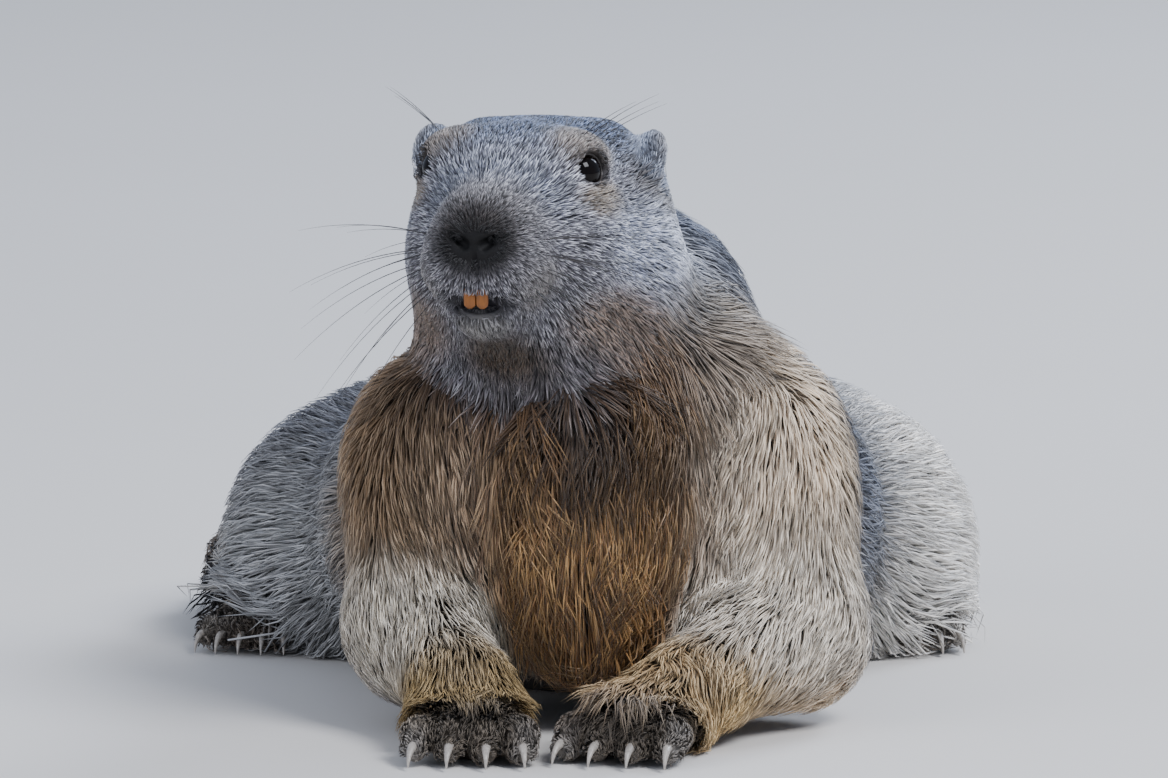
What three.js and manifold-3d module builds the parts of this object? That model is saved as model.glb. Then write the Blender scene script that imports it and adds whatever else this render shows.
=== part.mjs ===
// An alpine marmot, life size, lying on its belly with its chest raised, its forelegs in front and its
// head turned to its right: a still model such as a museum shows. Millimetres, +Z up, the marmot faces
// -Y, and the origin is on the floor under the flat of its belly.
import * as THREE from "three";
import { mergeVertices } from "three/addons/utils/BufferGeometryUtils.js";
import Module from "manifold-3d";

const wasm = await Module();
wasm.setup();
const { Manifold, Mesh } = wasm;
const V = (x, y, z) => new THREE.Vector3(x, y, z);
const radians = THREE.MathUtils.degToRad;
const lerp = THREE.MathUtils.lerp;

// Driving dimensions, in millimetres and degrees. The marmot's right is at -X, its left at +X.
const GAP = 0.3;
const HEAD_BASE = V(-18.5, -38, 180.5);
const HEAD_YAW = 14;
const HEAD_PITCH = 10;
const EYE = { across: 24.2, back: -50.5, up: 6.5, radius: 7.2, lid: 1.7 };
const EAR = { across: 35.5, back: -9, up: 10, tall: 29, wide: 22, thick: 11, lean: 20, turn: 38 };
const EAR_RIM = [0.8, 3.8, 5.5];
const INCISOR = { wide: 4.5, tall: 9.5, thick: 2.4, back: -92.4, up: -33 };
const WHISKER = { count: 6, length: 58, thick: 0.8 };
const COAT = { trunk: 13, neck: 12, bib: 18, leg: 9, tail: 12, head: 1.5 };
const CORE_SHARE = 0.5;
const FORELEGS = {
  right: { side: -1, elbow: V(-61, -62, 34), wrist: V(-46, -110, 22), paw: V(-43.5, -126, 8), splay: -3 },
  left: { side: 1, elbow: V(66, -62, 32), wrist: V(30, -106, 22), paw: V(12, -125, 8), splay: -16 },
};
const HINDFEET = {
  right: { side: -1, heel: V(-112, 168, 11), toes: V(-124, 106, 7) },
  left: { side: 1, heel: V(106, 168, 11), toes: V(112, 106, 7) },
};
const FOREPAW = { toes: 4, palm: [20, 21, 10], toeLong: 17, pitch: 10.6, thick: 10.4, sides: 6, claw: 5 };
const HINDPAW = { toes: 5, palm: [15, 18, 8], toeLong: 14, pitch: 6.2, thick: 7.6, sides: 4, claw: 3 };
const SOLE = { heel: 10, toes: 13, flat: 0.7, growth: 1.6 };
const CLAW = { long: 13, thick: 4.4 };
const TAIL_LINE = [V(-4, 210, 33), V(-46, 238, 25), V(-96, 230, 22), V(-127, 184, 17), V(-141, 116, 11)];
const TAIL_RADII = [24, 25, 23, 18, 10];
const CELL = { torso: 24, neck: 17, head: 8, foreleg: 13, hindleg: 19, tail: 11 };

// Forms as fields: below zero inside, and roughly the distance in millimetres outside.
const blob = (centre, radii) => (p) => {
  const x = (p.x - centre[0]) / radii[0];
  const y = (p.y - centre[1]) / radii[1];
  const z = (p.z - centre[2]) / radii[2];
  const k = Math.hypot(x, y, z);
  const g = Math.hypot(x / radii[0], y / radii[1], z / radii[2]);
  return g < 1e-9 ? -Math.min(...radii) : (k * (k - 1)) / g;
};

const roundCone = (a, b, radiusA, radiusB) => {
  const along = b.clone().sub(a);
  const q = V(0, 0, 0);
  return (p) => {
    const t = THREE.MathUtils.clamp(q.copy(p).sub(a).dot(along) / along.lengthSq(), 0, 1);
    return q.copy(along).multiplyScalar(t).add(a).distanceTo(p) - lerp(radiusA, radiusB, t);
  };
};

const soft = (depth, forms) => (p) =>
  forms.reduce((low, form) => {
    const value = form(p);
    const h = Math.max(depth - Math.abs(low - value), 0) / depth;
    return Math.min(low, value) - (h * h * depth) / 4;
  }, 1e6);

const slope = (field, p, step = 0.6) => {
  const n = V(0, 0, 0);
  for (const axis of ["x", "y", "z"]) {
    const q = p.clone();
    q[axis] += step;
    const high = field(q);
    q[axis] -= 2 * step;
    n[axis] = (high - field(q)) / (2 * step);
  }
  return n;
};

// The head's own frame: x across to the marmot's left, y back towards the nape, z up through the crown.
const [cosYaw, sinYaw] = [Math.cos(radians(HEAD_YAW)), Math.sin(radians(HEAD_YAW))];
const [cosPitch, sinPitch] = [Math.cos(radians(HEAD_PITCH)), Math.sin(radians(HEAD_PITCH))];
const HEAD_FRAME = new THREE.Matrix4()
  .makeBasis(
    V(cosYaw, -sinYaw, 0),
    V(sinYaw * cosPitch, cosYaw * cosPitch, -sinPitch),
    V(sinYaw * sinPitch, cosYaw * sinPitch, cosPitch),
  )
  .setPosition(HEAD_BASE);
const TO_HEAD = HEAD_FRAME.clone().invert();
const inHead = (x, y, z) => V(x, y, z).applyMatrix4(HEAD_FRAME);
const both = (make) => [-1, 1].map(make);

const skull = soft(12, [
  blob([0, -32, -2], [34, 45, 27]),
  ...both((s) => blob([s * 20, -36, -22], [19, 31, 25])),
  ...both((s) => blob([s * 26, -6, -22], [19, 24, 27])),
  blob([0, -72, -21], [20, 26, 21]),
  blob([0, -84, -15], [14.5, 12.5, 11.5]),
  ...both((s) => blob([s * 9.5, -81, -29], [11.5, 14, 10.5])),
  blob([0, -66, -43], [13, 22, 10.5]),
  ...both((s) => blob([s * 22, -46, 13], [9, 13, 7])),
  blob([0, -26, -42], [29, 34, 20]),
  ...both((s) => blob([s * 22, -8, 8], [12, 20, 18])),
]);
const headForm = (p) => skull(p.clone().applyMatrix4(TO_HEAD));
const neckForm = soft(20, [
  roundCone(V(-14, -38, 158), V(-3, -32, 104), 44, 66),
  blob([5, -1, 134], [50, 46, 44]),
]);
const trunkForm = soft(30, [
  blob([-2, -38, 80], [70, 58, 70]),
  blob([0, 46, 56], [102, 112, 76]),
  blob([0, 138, 38], [120, 90, 74]),
  blob([0, 196, 32], [82, 48, 50]),
]);
const bibForm = blob([-4, -84, 72], [34, 26, 60]);
const hindlegForms = both((s) => blob([s * 91, 132, 30], [48, 74, 52]));
const forelegForm = (leg) =>
  soft(12, [
    blob([leg.side * 58, -48, 84], [31, 38, 46]),
    roundCone(V(leg.side * 60, -46, 90), leg.elbow, 28, 27),
    roundCone(leg.elbow, leg.wrist, 27, 19),
  ]);
const flesh = soft(20, [
  soft(26, [trunkForm, neckForm, bibForm, ...hindlegForms]),
  headForm,
  ...Object.values(FORELEGS).map(forelegForm),
]);
const tailForm = soft(
  10,
  TAIL_LINE.slice(1).map((end, i) => roundCone(TAIL_LINE[i], end, TAIL_RADII[i], TAIL_RADII[i + 1])),
);

// How deep the coat is at a point, from the skin to the tips of its hairs.
const fade = (value, from, to) => THREE.MathUtils.smoothstep(value, from, to);
const coatDepth = (p) => {
  const onHead = 1 - fade(headForm(p), 0, 16);
  const onBib = fade(-p.y, 62, 92) * (1 - fade(Math.abs(p.x + 4), 26, 50)) * (1 - fade(p.z, 118, 150));
  const onLeg = 1 - fade(Math.min(...Object.values(FORELEGS).map((leg) => forelegForm(leg)(p))), 2, 14);
  const body = lerp(lerp(COAT.trunk, COAT.neck, fade(p.z, 105, 150)), COAT.bib, onBib);
  return lerp(lerp(body, COAT.leg, onLeg * (1 - onBib)), COAT.head, onHead);
};
const coreForm = (p) => flesh(p) + CORE_SHARE * coatDepth(p);
const tailCore = (p) => tailForm(p) + CORE_SHARE * COAT.tail;

// Solids, which are joined and cut as closed bodies.
const solid = (geometry) => {
  const bare = geometry.index ? geometry.clone() : geometry;
  bare.deleteAttribute("normal");
  bare.deleteAttribute("uv");
  const merged = mergeVertices(bare, 1e-4);
  return new Manifold(
    new Mesh({
      numProp: 3,
      vertProperties: Float32Array.from(merged.attributes.position.array),
      triVerts: Uint32Array.from(merged.index.array),
    }),
  );
};
const join = (parts) => Manifold.union(parts);
const largest = (body) => body.decompose().sort((a, b) => b.volume() - a.volume())[0];
const geometryOf = (body) => {
  const { vertProperties, triVerts } = body.getMesh();
  return new THREE.BufferGeometry()
    .setAttribute("position", new THREE.BufferAttribute(Float32Array.from(vertProperties), 3))
    .setIndex(new THREE.BufferAttribute(Uint32Array.from(triVerts), 1));
};

const ball = (centre, radii, frame = new THREE.Matrix4(), across = 16, down = 10) =>
  solid(
    new THREE.SphereGeometry(1, across, down)
      .rotateX(Math.PI / 2)
      .scale(...radii)
      .translate(...centre)
      .applyMatrix4(frame),
  );

// A big block whose face passes through a point, on the side that the direction points to.
const BLOCK = 900;
const beyond = (point, direction) => {
  const turn = new THREE.Quaternion().setFromUnitVectors(V(0, 0, 1), direction.clone().normalize());
  const box = new THREE.BoxGeometry(BLOCK, BLOCK, BLOCK).translate(0, 0, BLOCK / 2);
  return solid(box.applyQuaternion(turn).translate(...point));
};
const FLOOR = beyond(V(0, 0, 0), V(0, 0, -1));

// The closed surface on which a field is zero, as one vertex in each cell that it crosses, pushed out if
// it is to be grown.
const surfaceOf = (field, low, high, cell, grow = 0) => {
  const count = [0, 1, 2].map((i) => Math.ceil((high[i] - low[i]) / cell) + 1);
  const index = (i, j, k) => (k * count[1] + j) * count[0] + i;
  const place = (i, j, k) => V(low[0] + i * cell, low[1] + j * cell, low[2] + k * cell);
  const values = new Float32Array(count[0] * count[1] * count[2]);
  for (let k = 0; k < count[2]; k++)
    for (let j = 0; j < count[1]; j++)
      for (let i = 0; i < count[0]; i++) {
        const rim = [i, j, k].some((n, axis) => n === 0 || n === count[axis] - 1);
        values[index(i, j, k)] = rim ? cell : field(place(i, j, k));
      }
  // Where the signs on a cell's side stand like a chequerboard, the weakest one is turned.
  const steps = [1, count[0], count[0] * count[1]];
  for (let n = 0; n < values.length - steps[1] - steps[2]; n++)
    for (const [a, b] of [[steps[0], steps[1]], [steps[1], steps[2]], [steps[0], steps[2]]]) {
      const side = [n, n + a, n + b, n + a + b];
      const [p, q, r, s] = side.map((at) => values[at] < 0);
      if (p !== s || q !== r || p === q) continue;
      const weakest = side.sort((one, other) => Math.abs(values[one]) - Math.abs(values[other]))[0];
      values[weakest] *= -1;
    }
  const corners = [0, 1, 2, 3, 4, 5, 6, 7].map((c) => [c & 1, (c >> 1) & 1, c >> 2]);
  const edges = corners.flatMap((a, n) => corners.slice(n + 1).map((b) => [a, b])).filter(([a, b]) => {
    return Math.abs(a[0] - b[0]) + Math.abs(a[1] - b[1]) + Math.abs(a[2] - b[2]) === 1;
  });
  const vertexOf = new Map();
  const positions = [];
  for (let k = 0; k < count[2] - 1; k++)
    for (let j = 0; j < count[1] - 1; j++)
      for (let i = 0; i < count[0] - 1; i++) {
        const middle = V(0, 0, 0);
        let crossings = 0;
        for (const [a, b] of edges) {
          const va = values[index(i + a[0], j + a[1], k + a[2])];
          const vb = values[index(i + b[0], j + b[1], k + b[2])];
          if (va < 0 === vb < 0) continue;
          middle.add(
            place(i + a[0], j + a[1], k + a[2]).lerp(place(i + b[0], j + b[1], k + b[2]), va / (va - vb)),
          );
          crossings += 1;
        }
        if (!crossings) continue;
        middle.divideScalar(crossings);
        const n = slope(field, middle);
        middle.addScaledVector(n, -THREE.MathUtils.clamp(field(middle), -cell / 4, cell / 4) / n.lengthSq());
        const corner = place(i, j, k);
        middle.clamp(corner.clone().addScalar(0.1 * cell), corner.clone().addScalar(0.9 * cell));
        middle.addScaledVector(n, grow / n.length());
        vertexOf.set(index(i, j, k), positions.length / 3);
        positions.push(...middle);
      }
  const faces = [];
  const quad = (a, b, c, d, flip) => {
    const [p, q, r, s] = [a, b, c, d].map((cellIndex) => vertexOf.get(cellIndex));
    faces.push(...(flip ? [p, r, q, p, s, r] : [p, q, r, p, r, s]));
  };
  for (let k = 0; k < count[2] - 1; k++)
    for (let j = 0; j < count[1] - 1; j++)
      for (let i = 0; i < count[0] - 1; i++) {
        const inside = values[index(i, j, k)] < 0;
        if (inside !== values[index(i + 1, j, k)] < 0)
          quad(index(i, j - 1, k - 1), index(i, j, k - 1), index(i, j, k), index(i, j - 1, k), !inside);
        if (inside !== values[index(i, j + 1, k)] < 0)
          quad(index(i - 1, j, k - 1), index(i - 1, j, k), index(i, j, k), index(i, j, k - 1), !inside);
        if (inside !== values[index(i, j, k + 1)] < 0)
          quad(index(i - 1, j - 1, k), index(i, j - 1, k), index(i, j, k), index(i - 1, j, k), !inside);
      }
  return new THREE.BufferGeometry()
    .setAttribute("position", new THREE.Float32BufferAttribute(positions, 3))
    .setIndex(faces);
};

// A closed tube of any cross-section along some points, which may end in a point.
const tube = (rings, tip) => {
  const positions = rings.flatMap(({ at, across, up, outline }) =>
    outline.flatMap(([x, y]) => [...at.clone().addScaledVector(across, x).addScaledVector(up, y)]),
  );
  const sides = rings[0].outline.length;
  const last = (rings.length - 1) * sides;
  const faces = [];
  for (let s = 0; s < sides; s++) {
    const next = (s + 1) % sides;
    for (let r = 0; r < last; r += sides)
      faces.push(r + s, r + sides + next, r + next, r + s, r + sides + s, r + sides + next);
    if (tip) faces.push(last + s, last + sides, last + next);
    if (s < 1 || s > sides - 2) continue;
    faces.push(0, s, s + 1);
    if (!tip) faces.push(last, last + s + 1, last + s);
  }
  if (tip) positions.push(...tip);
  const body = new THREE.BufferGeometry()
    .setAttribute("position", new THREE.Float32BufferAttribute(positions, 3))
    .setIndex(faces);
  return solid(body);
};
const ringOutline = (sides, across, up) =>
  Array.from({ length: sides }, (_, i) => {
    const turn = (2 * Math.PI * i) / sides;
    return [across * Math.cos(turn), up * Math.sin(turn)];
  });
// A round tube along points, with a half-width at each, and up to guide its sections.
const rod = (points, halfWidths, sides, up = V(0, 0, 1), flat = 1) =>
  tube(
    points.map((at, i) => {
      const ahead = points[Math.min(i + 1, points.length - 1)].clone().sub(points[Math.max(i - 1, 0)]);
      const across = ahead.clone().normalize().cross(up).normalize();
      const over = across.clone().cross(ahead).normalize();
      return { at, across, up: over, outline: ringOutline(sides, halfWidths[i], halfWidths[i] * flat) };
    }),
  );

// Locks of the coat, with seeded draws so that they fall the same way each time.
const random = (seed) => () => {
  seed = (seed + 0x6d2b79f5) | 0;
  let t = Math.imul(seed ^ (seed >>> 15), 1 | seed);
  t = (t + Math.imul(t ^ (t >>> 7), 61 | t)) ^ t;
  return ((t ^ (t >>> 14)) >>> 0) / 4294967296;
};

// The way that the hair lies: back and down over the trunk, straight down on the chest and legs.
const lieOfBody = (p) => {
  const side = Math.sign(p.x) * fade(Math.abs(p.x), 0, 60);
  const front = fade(-p.y, 30, 80);
  const trunk = V(side * 0.25, 0.9, -0.42);
  const chest = V(-side * 0.3, -0.1, -1);
  const nape = V(0.25, 0.55, -0.75);
  const way = trunk.lerp(chest, front).lerp(nape, fade(p.z, 120, 150) * (1 - front));
  return way.normalize();
};
const lieOfHead = () => V(sinYaw * 0.8, cosYaw * 0.8, -0.62).normalize();
const lieOfTail = (p) => {
  const nearest = TAIL_LINE.slice(1)
    .map((end, i) => ({ start: TAIL_LINE[i], end, gap: roundCone(TAIL_LINE[i], end, 0, 0)(p) }))
    .sort((a, b) => a.gap - b.gap)[0];
  return nearest.end.clone().sub(nearest.start).normalize();
};

// One flat, tapered lock, and the same lock grown by the gap. It follows the field's surface as it goes.
const LOCK = {
  steps: [0, 0.36, 0.72, 1],
  widths: [0.8, 1, 0.7],
  lifts: [-0.55, 0.45, 0.85, 1],
  low: 2.5,
  turn: 0.65,
};
const LOCK_ROOM = 1.5 * GAP;
const LOCK_RISE = 1.2;
const TIP_GROWTH = 8;
const TAIL_ROOM = 1.3 * GAP;
const lockAt = (root, field, lie, { length, width, thick, height, twist }) => {
  const at = root.clone();
  let normal = slope(field, at).normalize();
  const tangent = (way) => way.addScaledVector(normal, -way.dot(normal)).normalize();
  let way = tangent(lie(at).applyAxisAngle(normal, twist));
  const spine = LOCK.steps.map((step, i) => {
    if (i) {
      at.addScaledVector(way, (step - LOCK.steps[i - 1]) * length);
      normal = slope(field, at).normalize();
      way = tangent(way.lerp(lie(at), 0.3));
    }
    at.addScaledVector(normal, LOCK.lifts[i] * height - field(at));
    return { at: at.clone(), up: normal.clone(), across: way.clone().cross(normal).normalize() };
  });
  const turns = spine.slice(1).some((ring, i) => ring.up.dot(spine[i].up) < LOCK.turn);
  if (turns || spine.some((ring) => ring.at.z < LOCK.low)) return null;
  const { at: tip } = spine.pop();
  return [0, LOCK_ROOM].map((grow) =>
    tube(
      spine.map((ring, i) => {
        const half = (width * LOCK.widths[i]) / 2;
        const edge = half + grow / Math.tan(Math.atan2(thick, half) / 2);
        const deep = thick / 2 + LOCK_RISE * grow;
        return { ...ring, outline: [[-edge, -deep], [edge, -deep], [0, deep]] };
      }),
      tip.clone().addScaledVector(way, TIP_GROWTH * grow),
    ),
  );
};

// Roots spread evenly over a solid's own skin, wherever the zone allows.
const rootsOn = (body, field, zone, spacing, seed) => {
  const draw = random(seed);
  const { vertProperties: at, triVerts } = body.getMesh();
  const corner = (i) => V(at[3 * triVerts[i]], at[3 * triVerts[i] + 1], at[3 * triVerts[i] + 2]);
  const faces = [];
  let total = 0;
  for (let i = 0; i < triVerts.length; i += 3) {
    const [a, b, c] = [corner(i), corner(i + 1), corner(i + 2)];
    total += b.clone().sub(a).cross(c.clone().sub(a)).length() / 2;
    faces.push({ a, b, c, total });
  }
  const roots = [];
  const tries = Math.ceil((total / (spacing * spacing)) * 30);
  for (let n = 0; n < tries; n++) {
    const pick = draw() * total;
    const { a, b, c } = faces.find((face) => face.total >= pick);
    let [u, v] = [draw(), draw()];
    if (u + v > 1) [u, v] = [1 - u, 1 - v];
    const p = a.clone().addScaledVector(b.clone().sub(a), u).addScaledVector(c.clone().sub(a), v);
    if (Math.abs(field(p)) > 1.5 || !zone(p)) continue;
    if (roots.every((q) => q.distanceTo(p) > spacing)) roots.push(p);
  }
  return roots;
};

const locksOn = (body, field, lie, { zone, spacing, length, width, thick, height, seed }) => {
  const draw = random(seed + 1);
  const vary = (share) => 1 + share * (2 * draw() - 1);
  const locks = rootsOn(body, field, zone, spacing, seed).map((root) =>
    lockAt(root, field, lie, {
      length: length * vary(0.18),
      width: width * vary(0.15),
      thick,
      height: height * vary(0.12),
      twist: 0.35 * (2 * draw() - 1),
    }),
  );
  return locks.filter(Boolean);
};

// Each piece comes with the room that it takes, grown by the gap. A later piece is cut clear of that room.
const built = [];
const node = (name, material, body, room) => {
  const clear = built.reduce((rest, other) => rest.subtract(other.room), body.subtract(FLOOR));
  built.push({ name, material, body: largest(clear), room });
};
const coated = (name, material, core, room, field, lie, coats) => {
  const locks = coats.flatMap((coat) => locksOn(core, field, lie, coat));
  const body = join([core, ...locks.map(([lock]) => lock)]);
  node(name, material, body, join([...room, body, ...locks.map(([, wide]) => wide)]));
};

const finish = (color, roughness, metalness = 0) =>
  new THREE.MeshStandardMaterial({ color, roughness, metalness });
const GREY_FUR = finish(0x77767a, 0.9);
const TAN_FUR = finish(0xa98c68, 0.9);
const PALE_FUR = finish(0xc9c2b4, 0.9);
const RUST_FUR = finish(0x8a6a42, 0.9);
const BLACK_FUR = finish(0x2a2826, 0.9);
const PAW_SKIN = finish(0x4a433d, 0.75);
const EYE_BLACK = finish(0x0c0a0a, 0.1);
const TOOTH_ORANGE = finish(0xc07a2a, 0.35);

// Eyes, and the incisors that the parted lips show.
const eyeAt = (s) => [s * EYE.across, EYE.back, EYE.up];
const eyeBall = (s, grow) => ball(eyeAt(s), Array(3).fill(EYE.radius + grow), HEAD_FRAME, 12, 8);
for (const { side, name } of [{ side: -1, name: "eye_right" }, { side: 1, name: "eye_left" }])
  node(name, EYE_BLACK, eyeBall(side, 0), eyeBall(side, GAP));

const incisors = (grow) => {
  const [half, tall, thick] = [INCISOR.wide + grow, INCISOR.tall + grow, INCISOR.thick + 2 * grow];
  const outline = new THREE.Shape();
  outline.moveTo(-half * 0.86, 3).lineTo(-half, -tall * 0.75);
  outline.quadraticCurveTo(-half * 0.9, -tall, -half * 0.45, -tall);
  outline.quadraticCurveTo(-half * 0.1, -tall, 0, -tall * 0.9);
  outline.quadraticCurveTo(half * 0.1, -tall, half * 0.45, -tall);
  outline.quadraticCurveTo(half * 0.9, -tall, half, -tall * 0.75);
  outline.lineTo(half * 0.86, 3);
  const body = new THREE.ExtrudeGeometry(outline, { depth: thick, bevelEnabled: false, curveSegments: 4 });
  body.rotateX(Math.PI / 2).translate(0, INCISOR.back + thick - grow, INCISOR.up);
  return solid(body.applyMatrix4(HEAD_FRAME));
};
node("incisors", TOOTH_ORANGE, incisors(0), incisors(GAP));

// Paws: a palm, toes side by side, and a curved claw on each.
const CLAW_STEPS = 2;
const paw = (centre, heading, { toes, palm, toeLong, pitch, thick, claw: clawSides, sides }, grow) => {
  const ahead = V(Math.sin(heading), -Math.cos(heading), 0);
  const across = V(Math.cos(heading), Math.sin(heading), 0);
  const frame = new THREE.Matrix4()
    .makeBasis(across, ahead.clone().negate(), V(0, 0, 1))
    .setPosition(centre);
  const parts = [ball([0, 0, 0], palm.map((r) => r + grow), frame, 10, 6)];
  for (let i = 0; i < toes; i++) {
    const out = i - (toes - 1) / 2;
    const reach = toeLong * (1 - 0.045 * out * out);
    const fan = ahead.clone().addScaledVector(across, out * 0.1).normalize();
    const knuckle = centre.clone().addScaledVector(across, out * pitch).addScaledVector(ahead, palm[1] * 0.4);
    const point = (far, high) => {
      const p = knuckle.clone().addScaledVector(fan, far * reach);
      p.z = high;
      return p;
    };
    const half = thick / 2 + grow;
    const line = [point(-0.3, centre.z), point(0.4, centre.z + 2), point(1.05, 5)];
    parts.push(rod(line, [half * 0.85, half, half * 0.6], sides));
    const claw = Array.from({ length: CLAW_STEPS + 1 }, (_, k) => {
      const t = k / CLAW_STEPS;
      const p = knuckle.clone().addScaledVector(fan, reach * 0.9 + CLAW.long * Math.sin(t * 1.35));
      p.z = 6.6 + 1.5 * Math.sin(t * 2.2) - 7.2 * t * t;
      return p;
    });
    const clawHalf = claw.map((_, k) => (CLAW.thick / 2) * (1 - (0.94 * k) / CLAW_STEPS) + grow);
    parts.push(rod(claw, clawHalf, clawSides, V(0, 0, 1), 1.15));
  }
  return join(parts);
};
for (const [name, leg] of Object.entries(FORELEGS)) {
  const made = (grow) => paw(leg.paw, radians(leg.splay), FOREPAW, grow);
  node("forepaw_" + name, PAW_SKIN, made(0), made(GAP));
}
for (const [name, leg] of Object.entries(HINDFEET)) {
  const way = leg.toes.clone().sub(leg.heel).normalize();
  const heading = Math.atan2(way.x, -way.y);
  const sole = (grow) => {
    const line = [leg.heel.clone().addScaledVector(way, -grow), leg.toes];
    const halfWidths = [SOLE.heel, SOLE.toes].map((half) => half + SOLE.growth * grow);
    return rod(line, halfWidths, 7, V(0, 0, 1), SOLE.flat);
  };
  const made = (grow) => join([paw(leg.toes, heading, HINDPAW, grow), sole(grow)]);
  node("hindfoot_" + name, PAW_SKIN, made(0), made(GAP));
}

// Ears: a round furred cup behind each eye, its mouth facing out and forward.
const earBall = (s, inset, at, across, down) => {
  const frame = new THREE.Matrix4()
    .makeRotationFromEuler(new THREE.Euler(0, s * radians(EAR.lean), s * radians(EAR.turn), "ZYX"))
    .setPosition(s * EAR.across, EAR.back, EAR.up)
    .premultiply(HEAD_FRAME);
  return ball(at, [EAR.thick, EAR.wide, EAR.tall].map((size, i) => size / 2 - inset[i]), frame, across, down);
};
for (const [name, side] of [["ear_right", -1], ["ear_left", 1]]) {
  const shell = earBall(side, [0, 0, 0], [0, 0, 0], 12, 8);
  const cup = earBall(side, EAR_RIM, [side * 3.4, -2, -2], 10, 6);
  node(name, GREY_FUR, shell.subtract(cup), earBall(side, [-GAP, -GAP, -GAP], [0, 0, 0], 12, 8));
}

// Head: short-coated in front, with a ruff behind the cheeks, lids, nostrils, split lip and mouth.
const HEAD_SEAM = inHead(0, -4, -5);
const HEAD_WAY = inHead(0, -0.7, 0.71).sub(HEAD_BASE);
const HEAD_LOW = [-95, -165, 105];
const HEAD_HIGH = [60, 40, 225];
const headSkin = solid(surfaceOf(coreForm, HEAD_LOW, HEAD_HIGH, CELL.head));
const lid = (s) => {
  const outward = V(s * 0.83, -0.5, 0.24).normalize();
  const turn = new THREE.Quaternion().setFromUnitVectors(V(0, 0, 1), outward);
  const ring = new THREE.TorusGeometry(EYE.radius * 0.88, EYE.lid, 5, 13);
  const at = V(...eyeAt(s)).addScaledVector(outward, EYE.radius * 0.44);
  return solid(ring.applyQuaternion(turn).translate(...at).applyMatrix4(HEAD_FRAME));
};
const nostril = (s) =>
  join([
    ball([s * 4.6, -96.5, -20.5], [1.7, 4, 2.6], HEAD_FRAME, 7, 5),
    ball([s * 7.4, -94.5, -18.2], [2.6, 4, 1.5], HEAD_FRAME, 7, 5),
  ]);
const splitLip = rod(
  [inHead(0, -97.4, -24), inHead(0, -96.5, -29), inHead(0, -94.5, -34)],
  [0.9, 0.9, 1.2],
  6,
  V(1, 0, 0),
  2,
);
const mouthLine = rod(
  [[-20, -62], [-15, -78], [-8, -90], [0, -95], [8, -90], [15, -78], [20, -62]].map(([x, y]) =>
    inHead(x, y, -38.5 + 0.09 * Math.abs(x)),
  ),
  [0.5, 1.2, 1.3, 1.3, 1.3, 1.2, 0.5],
  6,
);
const mouthGap = ball([0, -91, -41], [7.6, 10, 3.6], HEAD_FRAME, 10, 6);
const whiskers = (s, grow) =>
  Array.from({ length: WHISKER.count }, (_, i) => {
    const [row, file] = [i % 3, Math.floor(i / 3)];
    const from = V(s * 13, -79 + 8 * file, -21 - 5 * row);
    const length = WHISKER.length * (1 - 0.16 * file - 0.05 * row);
    const way = V(s, 0.12 + 0.2 * file, 0.28 - 0.2 * row).normalize();
    const line = [0, 0.45, 1].map((t) => {
      const p = from.clone().addScaledVector(way, t * length);
      return p.add(V(0, 14 * t * t, -9 * t * t)).applyMatrix4(HEAD_FRAME);
    });
    const half = WHISKER.thick / 2 + grow;
    return rod(line, [half, half, half * 0.3], 3);
  });
const cheekZone = (p) => {
  const q = p.clone().applyMatrix4(TO_HEAD);
  return q.y > -46 && q.z < -10 && (Math.abs(q.x) > 20 || q.y > -34);
};
{
  const core = headSkin.subtract(beyond(HEAD_SEAM, HEAD_WAY.clone().negate()));
  const ruff = locksOn(core, coreForm, lieOfHead, {
    zone: cheekZone, spacing: 14, length: 28, width: 14, thick: 3.2, height: 5, seed: 11,
  });
  const [thin, wide] = [0, GAP].map((grow) => both((s) => whiskers(s, grow)).flat());
  const face = join([core, ...both(lid), ...thin, ...ruff.map(([lock]) => lock)]);
  const cuts = [...both(nostril), splitLip, mouthLine, mouthGap];
  const carved = cuts.reduce((body, cut) => body.subtract(cut), face);
  node("head", GREY_FUR, carved, join([...wide, carved, ...ruff.map(([, room]) => room)]));
}

// Forelegs: shoulder, upper arm and forearm, parted from the chest by a rounded cut.
const SHOULDER = { at: (s) => [s * 76, -54, 52], size: [36, 46, 62] };
const HAUNCH = { at: (s) => [s * 130, 132, 40], size: [48, 84, 70] };
const offLegs = (p) =>
  both((s) => Math.min(blob(SHOULDER.at(s), SHOULDER.size)(p), blob(HAUNCH.at(s), HAUNCH.size)(p))).every(
    (away) => away > 0,
  );
const shown = (p) => p.z > 12 && slope(coreForm, p).normalize().z > -0.25;
const NECK_SEAM = V(-4, -30, 117);
const NECK_WAY = V(-0.05, -0.28, 0.96).normalize();
for (const [name, leg] of Object.entries(FORELEGS)) {
  const s = leg.side;
  const reach = (grow) => {
    const wide = SHOULDER.size.map((r) => r + grow);
    const elbow = leg.elbow.clone().lerp(leg.wrist, 0.62);
    const fore = new THREE.Matrix4()
      .lookAt(leg.wrist, leg.elbow, V(0, 0, 1))
      .setPosition(elbow);
    const forearm = [26 + grow, 26 + grow, 54 + grow];
    return join([ball(SHOULDER.at(s), wide, undefined, 11, 7), ball([0, 0, 0], forearm, fore, 8, 6)]);
  };
  const low = [s < 0 ? -118 : -11, -167, -23];
  const high = [s < 0 ? -8 : 120, 20, 135];
  const core = solid(surfaceOf(coreForm, low, high, CELL.foreleg)).intersect(reach(0)).subtract(FLOOR);
  const zone = (p) => shown(p) && p.y > -105 && bibForm(p) > -6;
  const coat = { zone, spacing: 29, length: 48, width: 30, thick: 4, height: COAT.leg * CORE_SHARE };
  coated("foreleg_" + name, TAN_FUR, core, [reach(GAP)], coreForm, lieOfBody, [{ ...coat, seed: 23 + s }]);
}

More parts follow.
